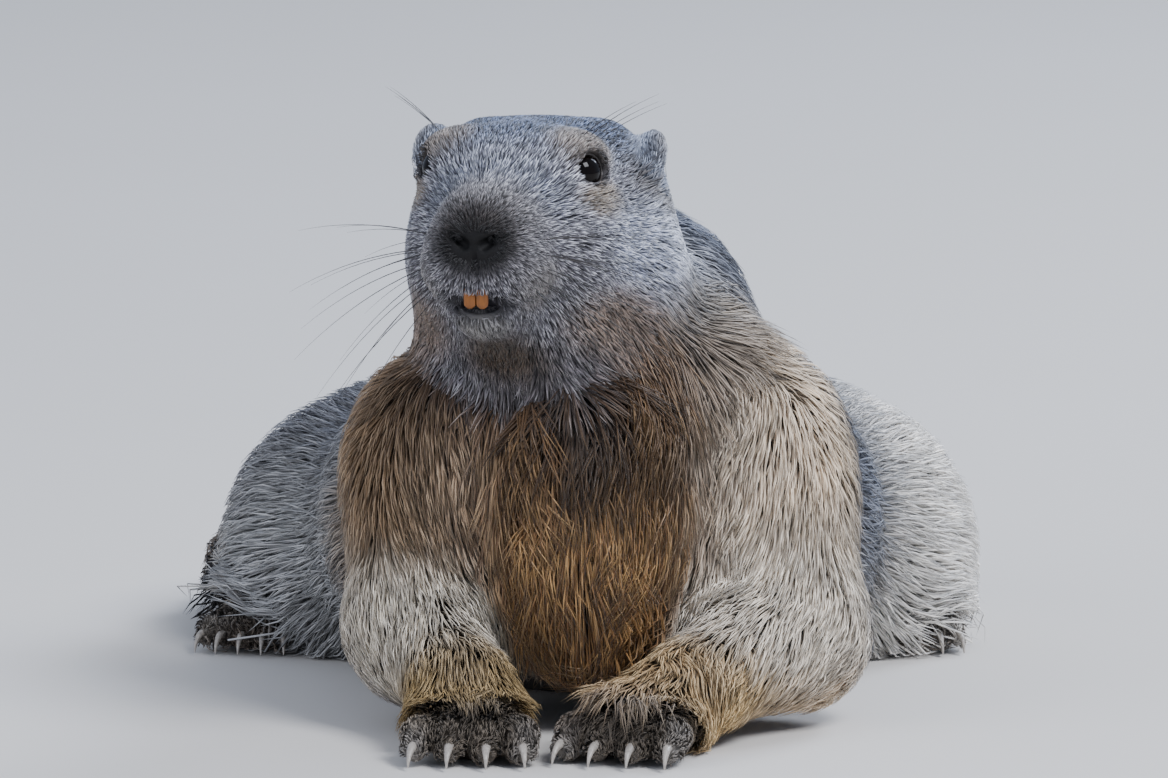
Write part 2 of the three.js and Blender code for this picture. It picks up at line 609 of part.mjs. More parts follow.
// Tail: bushy, curled round the right haunch, in two lengths.
{
  const seam = TAIL_LINE[3].clone().lerp(TAIL_LINE[2], 0.15);
  const way = TAIL_LINE[4].clone().sub(TAIL_LINE[2]).normalize();
  const whole = (grow) =>
    solid(surfaceOf(tailCore, [-185, 85, -20], [40, 285, 75], CELL.tail, grow)).subtract(FLOOR);
  const zone = (p) => p.z > 8 && flesh(p) > 8;
  const coat = { zone, spacing: 24, length: 46, width: 25, thick: 4.5, height: COAT.tail * CORE_SHARE };
  const tip = beyond(seam, way);
  const base = beyond(seam.clone().addScaledVector(way, -GAP), way.clone().negate());
  const [core, room] = [whole(0), whole(TAIL_ROOM)];
  const cut = (half) => [core.intersect(half), [room.intersect(half)], tailCore, lieOfTail];
  coated("tail_tip", BLACK_FUR, ...cut(tip), [{ ...coat, seed: 41 }]);
  coated("tail_base", GREY_FUR, ...cut(base), [{ ...coat, seed: 43 }]);
}

// Hind legs: the broad haunches that spread over the floor.
for (const [name, leg] of Object.entries(HINDFEET)) {
  const s = leg.side;
  const reach = (grow) => ball(HAUNCH.at(s), HAUNCH.size.map((r) => r + grow), undefined, 12, 8);
  const low = [s < 0 ? -170 : 60, 30, -20];
  const high = [s < 0 ? -60 : 170, 240, 130];
  const core = solid(surfaceOf(coreForm, low, high, CELL.hindleg)).intersect(reach(0)).subtract(FLOOR);
  const zone = (p) => shown(p) && tailForm(p) > 4;
  const coat = { zone, spacing: 40, length: 68, width: 43, thick: 5, height: COAT.trunk * CORE_SHARE };
  coated("hindleg_" + name, PALE_FUR, core, [reach(GAP)], coreForm, lieOfBody, [{ ...coat, seed: 31 + s }]);
}

// Neck: the thick ruff between the jaw and the shoulders.
const underNeck = beyond(NECK_SEAM, NECK_WAY.clone().negate());
{
  const core = solid(surfaceOf(coreForm, [-100, -135, 70], [85, 60, 215], CELL.neck))
    .subtract(beyond(HEAD_SEAM.clone().addScaledVector(HEAD_WAY, -GAP), HEAD_WAY))
    .subtract(underNeck);
  const height = COAT.neck * CORE_SHARE;
  const coat = { zone: () => true, spacing: 37, length: 62, width: 40, thick: 4.5, height };
  coated("neck", TAN_FUR, core, [], coreForm, lieOfBody, [{ ...coat, seed: 53 }]);
}

// Torso: chest with its long bib, ribs, belly and rump.
{
  const core = solid(surfaceOf(coreForm, [-170, -135, -20], [170, 270, 150], CELL.torso))
    .subtract(beyond(NECK_SEAM.clone().addScaledVector(NECK_WAY, -GAP), NECK_WAY))
    .subtract(FLOOR);
  const onBib = (p) => p.y < -50 && shown(p) && offLegs(p) && Math.abs(p.x) < 60;
  const onBack = (p) => p.y >= -50 && shown(p) && offLegs(p) && tailForm(p) > 4;
  const bib = { zone: onBib, spacing: 25, length: 54, width: 25, thick: 4, height: COAT.bib * CORE_SHARE };
  const height = COAT.trunk * CORE_SHARE;
  const back = { zone: onBack, spacing: 46, length: 82, width: 50, thick: 5.5, height };
  const coats = [{ ...bib, seed: 61 }, { ...back, seed: 67 }];
  coated("torso", RUST_FUR, core, [], coreForm, lieOfBody, coats);
}

const marmot = new THREE.Group();
for (const { name, material, body } of built) {
  const mesh = new THREE.Mesh(geometryOf(body), material);
  mesh.name = name;
  marmot.add(mesh);
}
export default marmot;
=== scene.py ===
# %% [markdown]
# # An alpine marmot at rest
# This lesson dresses a still, life-size marmot: it lies on its belly with its chest raised and its head
# turned a little to its right. The solids in the frame give the shape out to the tips of the coat. Blender
# adds what the eye reads as a marmot: a skin, about a hundred thousand tufts of hair, eyes, lids, claws,
# teeth and whiskers. Everything is in metres; +Z is up, the marmot faces -Y, and its right side is at -X.

# %% Load the frame
import math

import bpy
import numpy as np
from mathutils import Matrix, Vector
from mathutils.kdtree import KDTree


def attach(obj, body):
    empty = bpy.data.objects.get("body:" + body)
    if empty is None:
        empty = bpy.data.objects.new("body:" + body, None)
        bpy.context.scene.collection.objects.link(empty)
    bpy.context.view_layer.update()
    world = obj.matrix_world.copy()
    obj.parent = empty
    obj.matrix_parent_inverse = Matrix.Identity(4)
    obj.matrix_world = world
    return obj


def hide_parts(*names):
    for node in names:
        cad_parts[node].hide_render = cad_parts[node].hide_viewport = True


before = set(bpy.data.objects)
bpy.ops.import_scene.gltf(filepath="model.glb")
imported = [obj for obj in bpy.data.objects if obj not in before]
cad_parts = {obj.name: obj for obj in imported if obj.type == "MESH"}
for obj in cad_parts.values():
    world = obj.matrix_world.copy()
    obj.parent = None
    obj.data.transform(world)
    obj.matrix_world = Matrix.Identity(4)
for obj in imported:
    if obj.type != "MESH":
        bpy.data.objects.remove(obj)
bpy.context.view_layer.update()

# %% [markdown]
# The camera comes first, so that every later choice can be judged in the photograph's own view. A long lens
# far away gives the flat perspective of an animal portrait taken from a distance, a little above its head.

# %% Camera
VIEW_TARGET = Vector((-0.0055, -0.060, 0.1167))
VIEW_DISTANCE = 4.0
VIEW_HEIGHT = math.radians(8)
SENSOR_WIDTH, FOCAL_LENGTH = 36, 357.3  # millimetres, as on a camera
FARTHEST = 30
lens = bpy.data.cameras.new("portrait_lens")
lens.sensor_width = SENSOR_WIDTH
lens.lens = FOCAL_LENGTH
lens.clip_end = FARTHEST
camera = bpy.data.objects.new("portrait_camera", lens)
bpy.context.scene.collection.objects.link(camera)
toward = Vector((0, -math.cos(VIEW_HEIGHT), math.sin(VIEW_HEIGHT)))
camera.location = VIEW_TARGET + VIEW_DISTANCE * toward
camera.rotation_euler = (-toward).to_track_quat("-Z", "Y").to_euler()
bpy.context.scene.camera = camera
print("camera at", [round(v, 3) for v in camera.location])

# %% [markdown]
# A material is a small graph of nodes. One helper adds a node, sets its values and wires its inputs, so that
# each material below reads as a recipe. Colours are written as the sRGB hex values that a painter would
# pick, and one function turns them to the linear light that the renderer works in.


# %% Helpers for materials
def linear(hex_colour):
    channels = [int(hex_colour[i : i + 2], 16) / 255 for i in (1, 3, 5)]
    return [c / 12.92 if c <= 0.04045 else ((c + 0.055) / 1.055) ** 2.4 for c in channels]


def rgba(hex_colour):
    return (*linear(hex_colour), 1.0)


def add(tree, kind, settings=None, **inputs):
    node = tree.nodes.new(kind)
    for name, value in (settings or {}).items():
        setattr(node, name, value)
    for name, value in inputs.items():
        key = int(name[1:]) if name[0] == "i" and name[1:].isdigit() else name.replace("_", " ")
        socket = node.inputs[key]
        if isinstance(value, bpy.types.NodeSocket):
            tree.links.new(value, socket)
        else:
            socket.default_value = value
    return node


def material(name):
    made = bpy.data.materials.new(name)
    made.use_nodes = True
    made.node_tree.nodes.clear()
    return made, made.node_tree


def finish_surface(tree, **inputs):
    shader = add(tree, "ShaderNodeBsdfPrincipled", **inputs)
    add(tree, "ShaderNodeOutputMaterial", Surface=shader.outputs[0])
    return shader


# %% [markdown]
# The room is a plain pale floor under soft light. A large window-like lamp in front and to the left of the
# marmot models its form, a weaker one on the right keeps its flank open, and a pale sky lays the cool
# sheen on its crown that daylight gives to grey fur.

# %% Floor, lamps and sky
floor_material, tree = material("pale_plaster_floor")
grain = add(tree, "ShaderNodeTexNoise", Scale=14.0, Detail=6.0)
tone = add(tree, "ShaderNodeMix", {"data_type": "RGBA"}, i0=grain.outputs["Fac"],
           i6=rgba("#cfcbc5"), i7=rgba("#d9d6d1"))
finish_surface(tree, Base_Color=tone.outputs[2], Roughness=0.85)
floor_mesh = bpy.data.meshes.new("floor")
SIDE = 6.0
floor_corners = [(-SIDE, -SIDE, 0), (SIDE, -SIDE, 0), (SIDE, SIDE, 0), (-SIDE, SIDE, 0)]
floor_mesh.from_pydata(floor_corners, [], [(0, 1, 2, 3)])
floor_mesh.materials.append(floor_material)
floor = bpy.data.objects.new("floor", floor_mesh)
bpy.context.scene.collection.objects.link(floor)


LAMP_AIM = Vector((0, 0, 0.1))


def lamp(name, place, size, power, colour):
    light = bpy.data.lights.new(name, "AREA")
    light.size = size
    light.energy = power
    light.color = linear(colour)
    holder = bpy.data.objects.new(name, light)
    holder.location = place
    holder.rotation_euler = (LAMP_AIM - Vector(place)).to_track_quat("-Z", "Y").to_euler()
    bpy.context.scene.collection.objects.link(holder)


lamp("key_window", (1.4, -1.5, 2.4), 1.2, 108, "#f6f8ff")
lamp("side_fill", (-2.1, -1.5, 1.3), 1.8, 30, "#f4f6ff")
lamp("rim_light", (1.7, 1.9, 1.9), 1.2, 78, "#e2ecff")
world = bpy.data.worlds.new("soft_sky")
world.use_nodes = True
world.node_tree.nodes.clear()
sky = add(world.node_tree, "ShaderNodeBackground", Color=rgba("#cbd9f4"), Strength=0.7)
add(world.node_tree, "ShaderNodeOutputWorld", Surface=sky.outputs[0])
bpy.context.scene.world = world

# %% [markdown]
# ## The body as fields
# A field is a function of place that is below zero inside a form and grows to about the distance outside.
# Two building stones are enough for an animal: a stretched ball, and a round cone between two points. A
# smooth minimum lets them flow into each other as muscle does. The numbers are the ones that the solids
# were made with, so the skin and the coat fit the frame without any fitting. Only the head has one more
# low form, which fills the crown between its two back corners.


# %% Building stones of a field
def mm(*values):
    return 0.001 * np.array(values, dtype=np.float32)


def length_of(v):
    return np.sqrt(np.einsum("ij,ij->i", v, v))


def unit(v):
    return v / np.maximum(length_of(v), 1e-9)[:, None]


def dot(a, b):
    return np.einsum("ij,ij->i", a, b)


def blob(centre, radii):
    def field(p):
        q = (p - centre) / radii
        k = length_of(q)
        return k * (k - 1) / np.maximum(length_of(q / radii), 1e-3)

    return field


def round_cone(a, b, radius_a, radius_b):
    along = b - a

    def field(p):
        t = np.clip((p - a) @ along / (along @ along), 0, 1)
        return length_of(p - a - t[:, None] * along) - 0.001 * (radius_a + (radius_b - radius_a) * t)

    return field


def blend(depth, values):
    low = values[0]
    for value in values[1:]:
        h = np.maximum(0.001 * depth - np.abs(low - value), 0) / (0.001 * depth)
        low = np.minimum(low, value) - 0.00025 * depth * h * h
    return low


def soft(depth, forms):
    return lambda p: blend(depth, [form(p) for form in forms])


def carve(depth, value, cut):
    return -blend(depth, [-value, cut])


def fade(value, start, end):
    t = np.clip((value - start) / (end - start), 0, 1)
    return t * t * (3 - 2 * t)


def both(make):
    return [make(-1), make(1)]


# %% [markdown]
# The head has its own frame, turned to the marmot's right and raised, so that the skull, muzzle, eyes and
# ears can be placed as on a head that looks straight ahead: x across, y back, z up through the crown.

# %% Head frame
HEAD_BASE = mm(-18.5, -38, 180.5)
HEAD_YAW, HEAD_PITCH = math.radians(14), math.radians(10)
cos_yaw, sin_yaw = math.cos(HEAD_YAW), math.sin(HEAD_YAW)
cos_pitch, sin_pitch = math.cos(HEAD_PITCH), math.sin(HEAD_PITCH)
HEAD_AXES = np.array(
    [
        [cos_yaw, -sin_yaw, 0],
        [sin_yaw * cos_pitch, cos_yaw * cos_pitch, -sin_pitch],
        [sin_yaw * sin_pitch, cos_yaw * sin_pitch, cos_pitch],
    ],
    dtype=np.float32,
)


def to_head(p):
    return (p - HEAD_BASE) @ HEAD_AXES.T


def from_head(q):
    return q @ HEAD_AXES + HEAD_BASE


EYE_AT = {s: mm(s * 24.2, -50.5, 6.5) for s in (-1, 1)}
EYE_RADIUS = 0.0072
EYE_OUT = {s: np.array([s * 0.83, -0.5, 0.24], dtype=np.float32) / 0.998 for s in (-1, 1)}
EAR_LEAN, EAR_TURN = math.radians(20), math.radians(38)
skull = soft(12, [
    blob(mm(0, -32, -2), mm(34, 45, 27)),
    *both(lambda s: blob(mm(s * 20, -36, -22), mm(19, 31, 25))),
    *both(lambda s: blob(mm(s * 26, -6, -22), mm(19, 24, 27))),
    blob(mm(0, -72, -21), mm(20, 26, 21)),
    blob(mm(0, -84, -15), mm(14.5, 12.5, 11.5)),
    *both(lambda s: blob(mm(s * 9.5, -81, -29), mm(11.5, 14, 10.5))),
    blob(mm(0, -66, -43), mm(13, 22, 10.5)),
    *both(lambda s: blob(mm(s * 22, -46, 13), mm(9, 13, 7))),
    blob(mm(0, -26, -42), mm(29, 34, 20)),
    *both(lambda s: blob(mm(s * 22, -8, 8), mm(12, 20, 18))),
    blob(mm(0, -12, 7.5), mm(24, 24, 16.5)),
])
print("head frame:", HEAD_AXES.round(3).tolist())

# %% [markdown]
# The trunk, neck, chest, haunches and forelegs are the same stones again. Both forelegs lie forward, the
# left one turned in so that the paws nearly meet, and the tail curls round the right haunch.

# %% Body forms
ELBOW = {-1: mm(-61, -62, 34), 1: mm(66, -62, 32)}
WRIST = {-1: mm(-46, -110, 22), 1: mm(30, -106, 22)}
FOREPAW = {-1: mm(-43.5, -126, 8), 1: mm(12, -125, 8)}
PAW_HEADING = {-1: math.radians(-3), 1: math.radians(-16)}
HEEL = {-1: mm(-112, 168, 11), 1: mm(106, 168, 11)}
HIND_TOES = {-1: mm(-124, 106, 7), 1: mm(112, 106, 7)}
TAIL = [mm(-4, 210, 33), mm(-46, 238, 25), mm(-96, 230, 22), mm(-127, 184, 17), mm(-141, 116, 11)]
TAIL_RADII = [24, 25, 23, 18, 10]
COAT = {"trunk": 13, "neck": 12, "bib": 18, "leg": 9, "tail": 12, "head": 1.5}


def foreleg_form(s):
    return soft(12, [
        blob(mm(s * 58, -48, 84), mm(31, 38, 46)),
        round_cone(mm(s * 60, -46, 90), ELBOW[s], 28, 27),
        round_cone(ELBOW[s], WRIST[s], 27, 19),
    ])


FORMS = {
    "trunk": soft(30, [
        blob(mm(-2, -38, 80), mm(70, 58, 70)),
        blob(mm(0, 46, 56), mm(102, 112, 76)),
        blob(mm(0, 138, 38), mm(120, 90, 74)),
        blob(mm(0, 196, 32), mm(82, 48, 50)),
    ]),
    "neck": soft(20, [
        round_cone(mm(-14, -38, 158), mm(-3, -32, 104), 44, 66),
        blob(mm(5, -1, 134), mm(50, 46, 44)),
    ]),
    "bib": blob(mm(-4, -84, 72), mm(34, 26, 60)),
    "haunch_right": blob(mm(-91, 132, 30), mm(48, 74, 52)),
    "haunch_left": blob(mm(91, 132, 30), mm(48, 74, 52)),
    "head": lambda p: skull(to_head(p)),
    "foreleg_right": foreleg_form(-1),
    "foreleg_left": foreleg_form(1),
    "tail": soft(10, [
        round_cone(TAIL[i], TAIL[i + 1], TAIL_RADII[i], TAIL_RADII[i + 1]) for i in range(len(TAIL) - 1)
    ]),
}
print("forms:", list(FORMS))

# %% [markdown]
# A paw is a flat palm with toes side by side: four on a forefoot and five on a hind foot, as on every
# marmot. Each toe is a short round cone that dips to the floor, and the claws later start where it ends.


# %% Paw forms
def paw_lines(centre, heading, toes, palm_long, reach, pitch):
    ahead = np.array([math.sin(heading), -math.cos(heading), 0], dtype=np.float32)
    across = np.array([math.cos(heading), math.sin(heading), 0], dtype=np.float32)
    lines = []
    for i in range(toes):
        out = i - (toes - 1) / 2
        fan = ahead + 0.1 * out * across
        fan /= np.linalg.norm(fan)
        knuckle = centre + 0.001 * out * pitch * across + 0.0004 * palm_long * ahead
        lines.append((knuckle, fan, 0.001 * reach * (1 - 0.045 * out * out)))
    return ahead, across, lines


def toe_forms(centre, heading, toes, palm, reach, pitch, thick):
    ahead, across, lines = paw_lines(centre, heading, toes, palm[1], reach, pitch)
    axes = np.stack([across, -ahead, np.array([0, 0, 1], dtype=np.float32)])
    ball = blob(mm(0, 0, 0), mm(*palm))
    forms = [lambda p: ball((p - centre) @ axes.T)]
    for knuckle, fan, long in lines:
        spots = [(knuckle + far * long * fan) * (1, 1, 0) + (0, 0, high) for far, high in
                 ((-0.3, centre[2]), (0.45, centre[2] + 0.0015), (1.0, 0.0052))]
        spots = [spot.astype(np.float32) for spot in spots]
        forms.append(round_cone(spots[0], spots[1], 0.42 * thick, 0.46 * thick))
        forms.append(round_cone(spots[1], spots[2], 0.46 * thick, 0.36 * thick))
    return forms


PAWS = {
    "forepaw_right": (FOREPAW[-1], PAW_HEADING[-1], 4, (19, 20, 9), 17, 10.6, 10.4),
    "forepaw_left": (FOREPAW[1], PAW_HEADING[1], 4, (19, 20, 9), 17, 10.6, 10.4),
    "hindfoot_right": (HIND_TOES[-1], math.atan2(-12, 62), 5, (15, 18, 8), 14, 6.2, 7.6),
    "hindfoot_left": (HIND_TOES[1], math.atan2(6, 62), 5, (15, 18, 8), 14, 6.2, 7.6),
}
for name, values in PAWS.items():
    forms = toe_forms(*values)
    if name.startswith("hindfoot"):
        s = -1 if name.endswith("right") else 1
        forms.append(round_cone(HEEL[s] * (1, 1, 0.8), HIND_TOES[s], 7.5, 9))
    FORMS[name] = soft(2.5, forms)


# %% [markdown]
# An ear is a thin ball with a cup carved out of its front, low on the back of the head. The skin field puts
# it all together: the outer form, less the depth of the coat, plus ears and paws, with sockets for the
# eyes, nostrils and the parted lips carved in. A field can be measured anywhere, so the hair uses it too.


# %% The skin field
def ear_forms(s):
    lean, turn = s * EAR_LEAN, s * EAR_TURN
    rotate = np.array(Matrix.Rotation(turn, 3, "Z") @ Matrix.Rotation(lean, 3, "Y"), dtype=np.float32)
    place = mm(s * 35.5, -9, 10)
    shell = blob(mm(0, 0, 0), mm(5.2, 10.6, 14))
    cup = blob(mm(s * 4.2, -3, -3), mm(4.2, 6.4, 8.4))
    return place, rotate, shell, cup


def eye_axes(s):
    back = np.cross(EYE_OUT[s], [0, 0, -s])
    back /= np.linalg.norm(back)
    return np.stack([EYE_OUT[s], back, -s * np.cross(back, EYE_OUT[s])]).astype(np.float32)


EARS = both(ear_forms)
lid_mound = soft(1, both(lambda s: blob(EYE_AT[s] - 0.0006 * EYE_OUT[s], mm(8.3, 8.3, 8.3))))
almond = blob(mm(7.4, 0, 0), mm(7.4, 6.5, 5.4))


def eye_opening(q):
    return np.minimum(*both(lambda s: almond((q - EYE_AT[s]) @ eye_axes(s).T)))


ear_roots = soft(1, both(lambda s: blob(mm(s * 34, -4, 0), mm(7, 13, 14))))
carpus = soft(1, both(lambda s: round_cone(WRIST[s] - mm(0, 0, 4), FOREPAW[s] + mm(0, 0, 2), 12.5, 9)))
nostrils = soft(1, both(lambda s: round_cone(mm(s * 3.4, -98, -21.5), mm(s * 8.2, -94.5, -18), 1.9, 1.3)))
lip_split = round_cone(mm(0, -98.5, -22), mm(0, -94.5, -33.5), 0.5, 1.0)
mouth_gap = blob(mm(0, -91, -41), mm(7.8, 11, 3.4))
mouth_line = soft(1, both(lambda s: soft(1, [
    round_cone(mm(0, -95.5, -38.5), mm(s * 9, -89.5, -38), 1.2, 1.0),
    round_cone(mm(s * 9, -89.5, -38), mm(s * 15, -78, -37), 1.0, 0.7),
])))


def measure(p):
    at = {name: form(p) for name, form in FORMS.items()}
    trunk = blend(26, [at[name] for name in ("trunk", "neck", "bib", "haunch_right", "haunch_left")])
    at["flesh"] = blend(20, [trunk, at["head"], at["foreleg_right"], at["foreleg_left"]])
    x, y, z = p.T * 1000
    on_head = 1 - fade(at["head"] * 1000, 0, 16)
    on_bib = fade(-y, 62, 92) * (1 - fade(np.abs(x + 4), 26, 50)) * (1 - fade(z, 118, 150))
    on_leg = 1 - fade(np.minimum(at["foreleg_right"], at["foreleg_left"]) * 1000, 2, 14)
    depth = COAT["trunk"] + (COAT["neck"] - COAT["trunk"]) * fade(z, 105, 150)
    depth = depth + (COAT["bib"] - depth) * on_bib
    depth = depth + (COAT["leg"] - depth) * on_leg * (1 - on_bib)
    depth = depth + (COAT["head"] - depth) * on_head
    at["on_head"], at["on_bib"], at["on_leg"] = on_head, on_bib, on_leg
    at["depth"] = 0.001 * depth
    q = to_head(p)
    skin = at["flesh"] + at["depth"]
    ears = []
    for place, rotate, shell, cup in EARS:
        local = (q - place) @ rotate
        ears.append(carve(1.2, shell(local), cup(local)))
    at["ears"] = np.minimum(*ears)
    skin = blend(6, [skin, ear_roots(q)])
    skin = blend(4, [skin, at["ears"]])
    at["eye_opening"] = eye_opening(q)
    skin = carve(0.8, blend(5, [skin, lid_mound(q)]), at["eye_opening"])
    skin = carve(1.2, skin, nostrils(q))
    skin = carve(1.6, skin, lip_split(q))
    skin = carve(1.4, skin, np.minimum(mouth_gap(q), mouth_line(q)))
    skin = blend(8, [skin, at["tail"] + 0.001 * COAT["tail"], carpus(p)])
    at["paws"] = np.minimum.reduce([at[name] for name in PAWS])
    at["skin"] = blend(6, [skin, at["paws"]])
    at["q"] = q
    return at


def skin_field(p):
    return measure(p)["skin"]


def slope_of(field, p, step=0.0005):
    here = field(p)
    rise = [field(p + step * np.eye(3, dtype=np.float32)[axis]) - here for axis in range(3)]
    return here, np.stack(rise, 1) / step


# %% [markdown]
# A surface net turns the field into a mesh. It samples the field on a grid, puts one point in every cell that
# the surface crosses, and joins the points of neighbouring cells. The grid is fine where the face and
# paws are, because lips and toes need it, and coarse under the long coat, where nobody sees the skin.


# %% Surface net
def grid_lines(*stops):
    spans = zip(stops, stops[1:])
    lines = [np.linspace(a, b, max(2, round((b - a) / step) + 1))[:-1] for (a, step), (b, _) in spans]
    return np.concatenate(lines + [[stops[-1][0]]]).astype(np.float32) * 0.001


def surface_net(field, lines):
    shape = [len(line) for line in lines]
    values = np.empty(shape, dtype=np.float32)
    for i, x in enumerate(lines[0]):
        y, z = np.meshgrid(lines[1], lines[2], indexing="ij")
        sheet = np.stack([np.full(y.size, x, dtype=np.float32), y.ravel(), z.ravel()], 1)
        values[i] = field(sheet).reshape(y.shape)
    for axis in range(3):
        rim = np.moveaxis(values, axis, 0)
        rim[0], rim[-1] = 1, 1
    cells, spots, quads = [], [], []
    for axis in range(3):
        side = np.moveaxis(values, axis, 0)
        index = np.argwhere(np.moveaxis((side[:-1] < 0) != (side[1:] < 0), 0, axis))
        step = np.eye(3, dtype=int)[axis]
        start, end = values[tuple(index.T)], values[tuple((index + step).T)]
        spot = np.stack([lines[k][index[:, k]] for k in range(3)], 1)
        cell = lines[axis][index[:, axis] + 1] - lines[axis][index[:, axis]]
        spot[:, axis] += start / (start - end) * cell
        u, v = np.eye(3, dtype=int)[(axis + 1) % 3], np.eye(3, dtype=int)[(axis + 2) % 3]
        ring = np.stack([np.ravel_multi_index((index - o).T, shape) for o in (0 * u, u, u + v, v)], 1)
        quads.append(np.where((start < 0)[:, None], ring, ring[:, ::-1]))
        cells.append(ring.ravel())
        spots.append(np.repeat(spot, 4, axis=0))
    kept, number = np.unique(np.concatenate(cells), return_inverse=True)
    spots = np.concatenate(spots)
    count = np.bincount(number)
    points = np.stack([np.bincount(number, spots[:, k]) / count for k in range(3)], 1).astype(np.float32)
    for _ in range(2):
        here, slope = slope_of(field, points)
        away = np.clip(here, -0.0006, 0.0006) / np.maximum(dot(slope, slope), 0.2)
        points -= (away[:, None] * slope).astype(np.float32)
    renumber = np.searchsorted(kept, np.concatenate(quads))
    return points, renumber


GRID = [
    grid_lines((-160, 3.6), (-76, 1.35), (42, 3.6), (150, 3.6)),
    grid_lines((-172, 1.35), (-88, 1.9), (-22, 3.8), (275, 3.8)),
    grid_lines((-3, 1.4), (24, 3.6), (122, 1.4), (218, 1.4)),
]
skin_points, skin_quads = surface_net(skin_field, GRID)
skin_points[:, 2] = np.maximum(skin_points[:, 2], 0)
print("skin:", len(skin_points), "points,", 2 * len(skin_quads), "triangles")

# %% [markdown]
# ## Markings and painted light
# The coat of an alpine marmot has no hard edges: silver-grey head with a dark crown and muzzle, a pale
# streak below the ear, an ochre chest, cream forelegs and hips, and a blue-black mantle behind the
# shoulders. So the markings are soft patches painted one over another, by place on the body. Some of the
# patches also paint light and shade: a painted shadow under the chin, painted shade in the nostrils and
# in the parted mouth, a painted blue sky reflection on the grey head and nape, and painted light and
# shade that make the marmot's left side paler still than its right. Skin and hair ask the same
# function, which keeps them in step.


# %% Markings
def patch(centre, radii, edge=0.5):
    return lambda p, q: 1 - fade(length_of((p - mm(*centre)) / mm(*radii)), 1 - edge, 1 + edge)


def head_patch(centre, radii, edge=0.5):
    return lambda p, q: 1 - fade(length_of((q - mm(*centre)) / mm(*radii)), 1 - edge, 1 + edge)


def stripe(points, radius, edge):
    line = [mm(*point) for point in points]
    cones = [round_cone(a, b, radius, radius) for a, b in zip(line, line[1:])]
    return lambda p, q: 1 - fade(1000 * np.minimum.reduce([cone(p) for cone in cones]), -edge, edge)


def twice(make):
    sides = both(make)
    return lambda p, q: np.maximum(*[side(p, q) for side in sides])


# Each line: the hair's colour (its own, with painted light or shade where a note says so), the colour of its
# tip, how grizzled it is, and where it grows.
HEAD_PATCHES = [
    ("#75737a", "#efeff6", 0.9, head_patch((0, -45, -20), (46, 62, 52), 0.15)),
    # Dark grey crown hair; the blue in it and in its tips is a painted sky reflection, and so is the blue
    # cast of the greys on bridge, cheeks, streaks and ears.
    ("#2f384a", "#93a9d4", 0.9, head_patch((0, -22, 25), (44, 58, 20))),
    ("#83899a", "#eef4ff", 0.9, head_patch((0, -68, -4), (20, 17, 11))),
    ("#8a8078", "#c2b9ad", 0.6, twice(lambda s: head_patch((s * 25, -52, 15), (12, 15, 9)))),
    ("#8d8070", "#bcae9c", 0.5, twice(lambda s: head_patch((s * 29, -50, -3), (10, 12, 6)))),
    ("#a9aec0", "#ffffff", 0.9, twice(lambda s: head_patch((s * 34, -24, -18), (20, 26, 16)))),
    ("#eaf0ff", "#ffffff", 0.3, twice(lambda s: head_patch((s * 36, 0, -14), (15, 18, 12)))),
    ("#eaf0ff", "#ffffff", 0.3, twice(lambda s: head_patch((s * 38, 24, -20), (15, 20, 12)))),
    ("#877568", "#c2b0a0", 0.6, twice(lambda s: head_patch((s * 30, -34, -42), (16, 24, 12)))),
    ("#7a7573", "#bdb6b4", 0.7, head_patch((0, -84, -16), (19, 17, 17))),
    ("#2f2927", "#514845", 0.3, head_patch((0, -95, -18), (13, 12, 11))),
    ("#8d8885", "#c3bfbd", 0.7, twice(lambda s: head_patch((s * 15, -80, -31), (9, 12, 9)))),
    ("#4d4034", "#8b7660", 0.5, head_patch((0, -64, -57), (22, 24, 9))),
    ("#8f8c8a", "#c9c7c6", 0.5, head_patch((0, -85, -49), (13, 9, 6))),
    # Dark lip skin, with the gap of the parted mouth painted near-black as painted shade inside it.
    ("#1d1818", "#2b2525", 0.1, head_patch((0, -92, -40.5), (12, 9, 4))),
    # Dark nose leather, painted near-black over the nostril grooves too, as painted shade in them.
    ("#0d0b0b", "#0d0b0b", 0.0, head_patch((0, -99, -22), (12, 8, 7), 0.3)),
    ("#8b93a5", "#c5d0e4", 0.7, twice(lambda s: head_patch((s * 36, -9, 13), (11, 13, 14), 0.2))),
    ("#3d3836", "#6d6865", 0.3, twice(lambda s: head_patch((s * 34, -18, 4), (5, 6, 6), 0.4))),
    # Painted shade: the nostril openings painted black inside.
    ("#020202", "#020202", 0.0, lambda p, q: 1 - fade(1000 * nostrils(q), 0.1, 1.1)),
    ("#241f1e", "#3a3432", 0.1, twice(lambda s: head_patch((s * 30, -54, 8), (5.5, 7, 6), 0.2))),
]
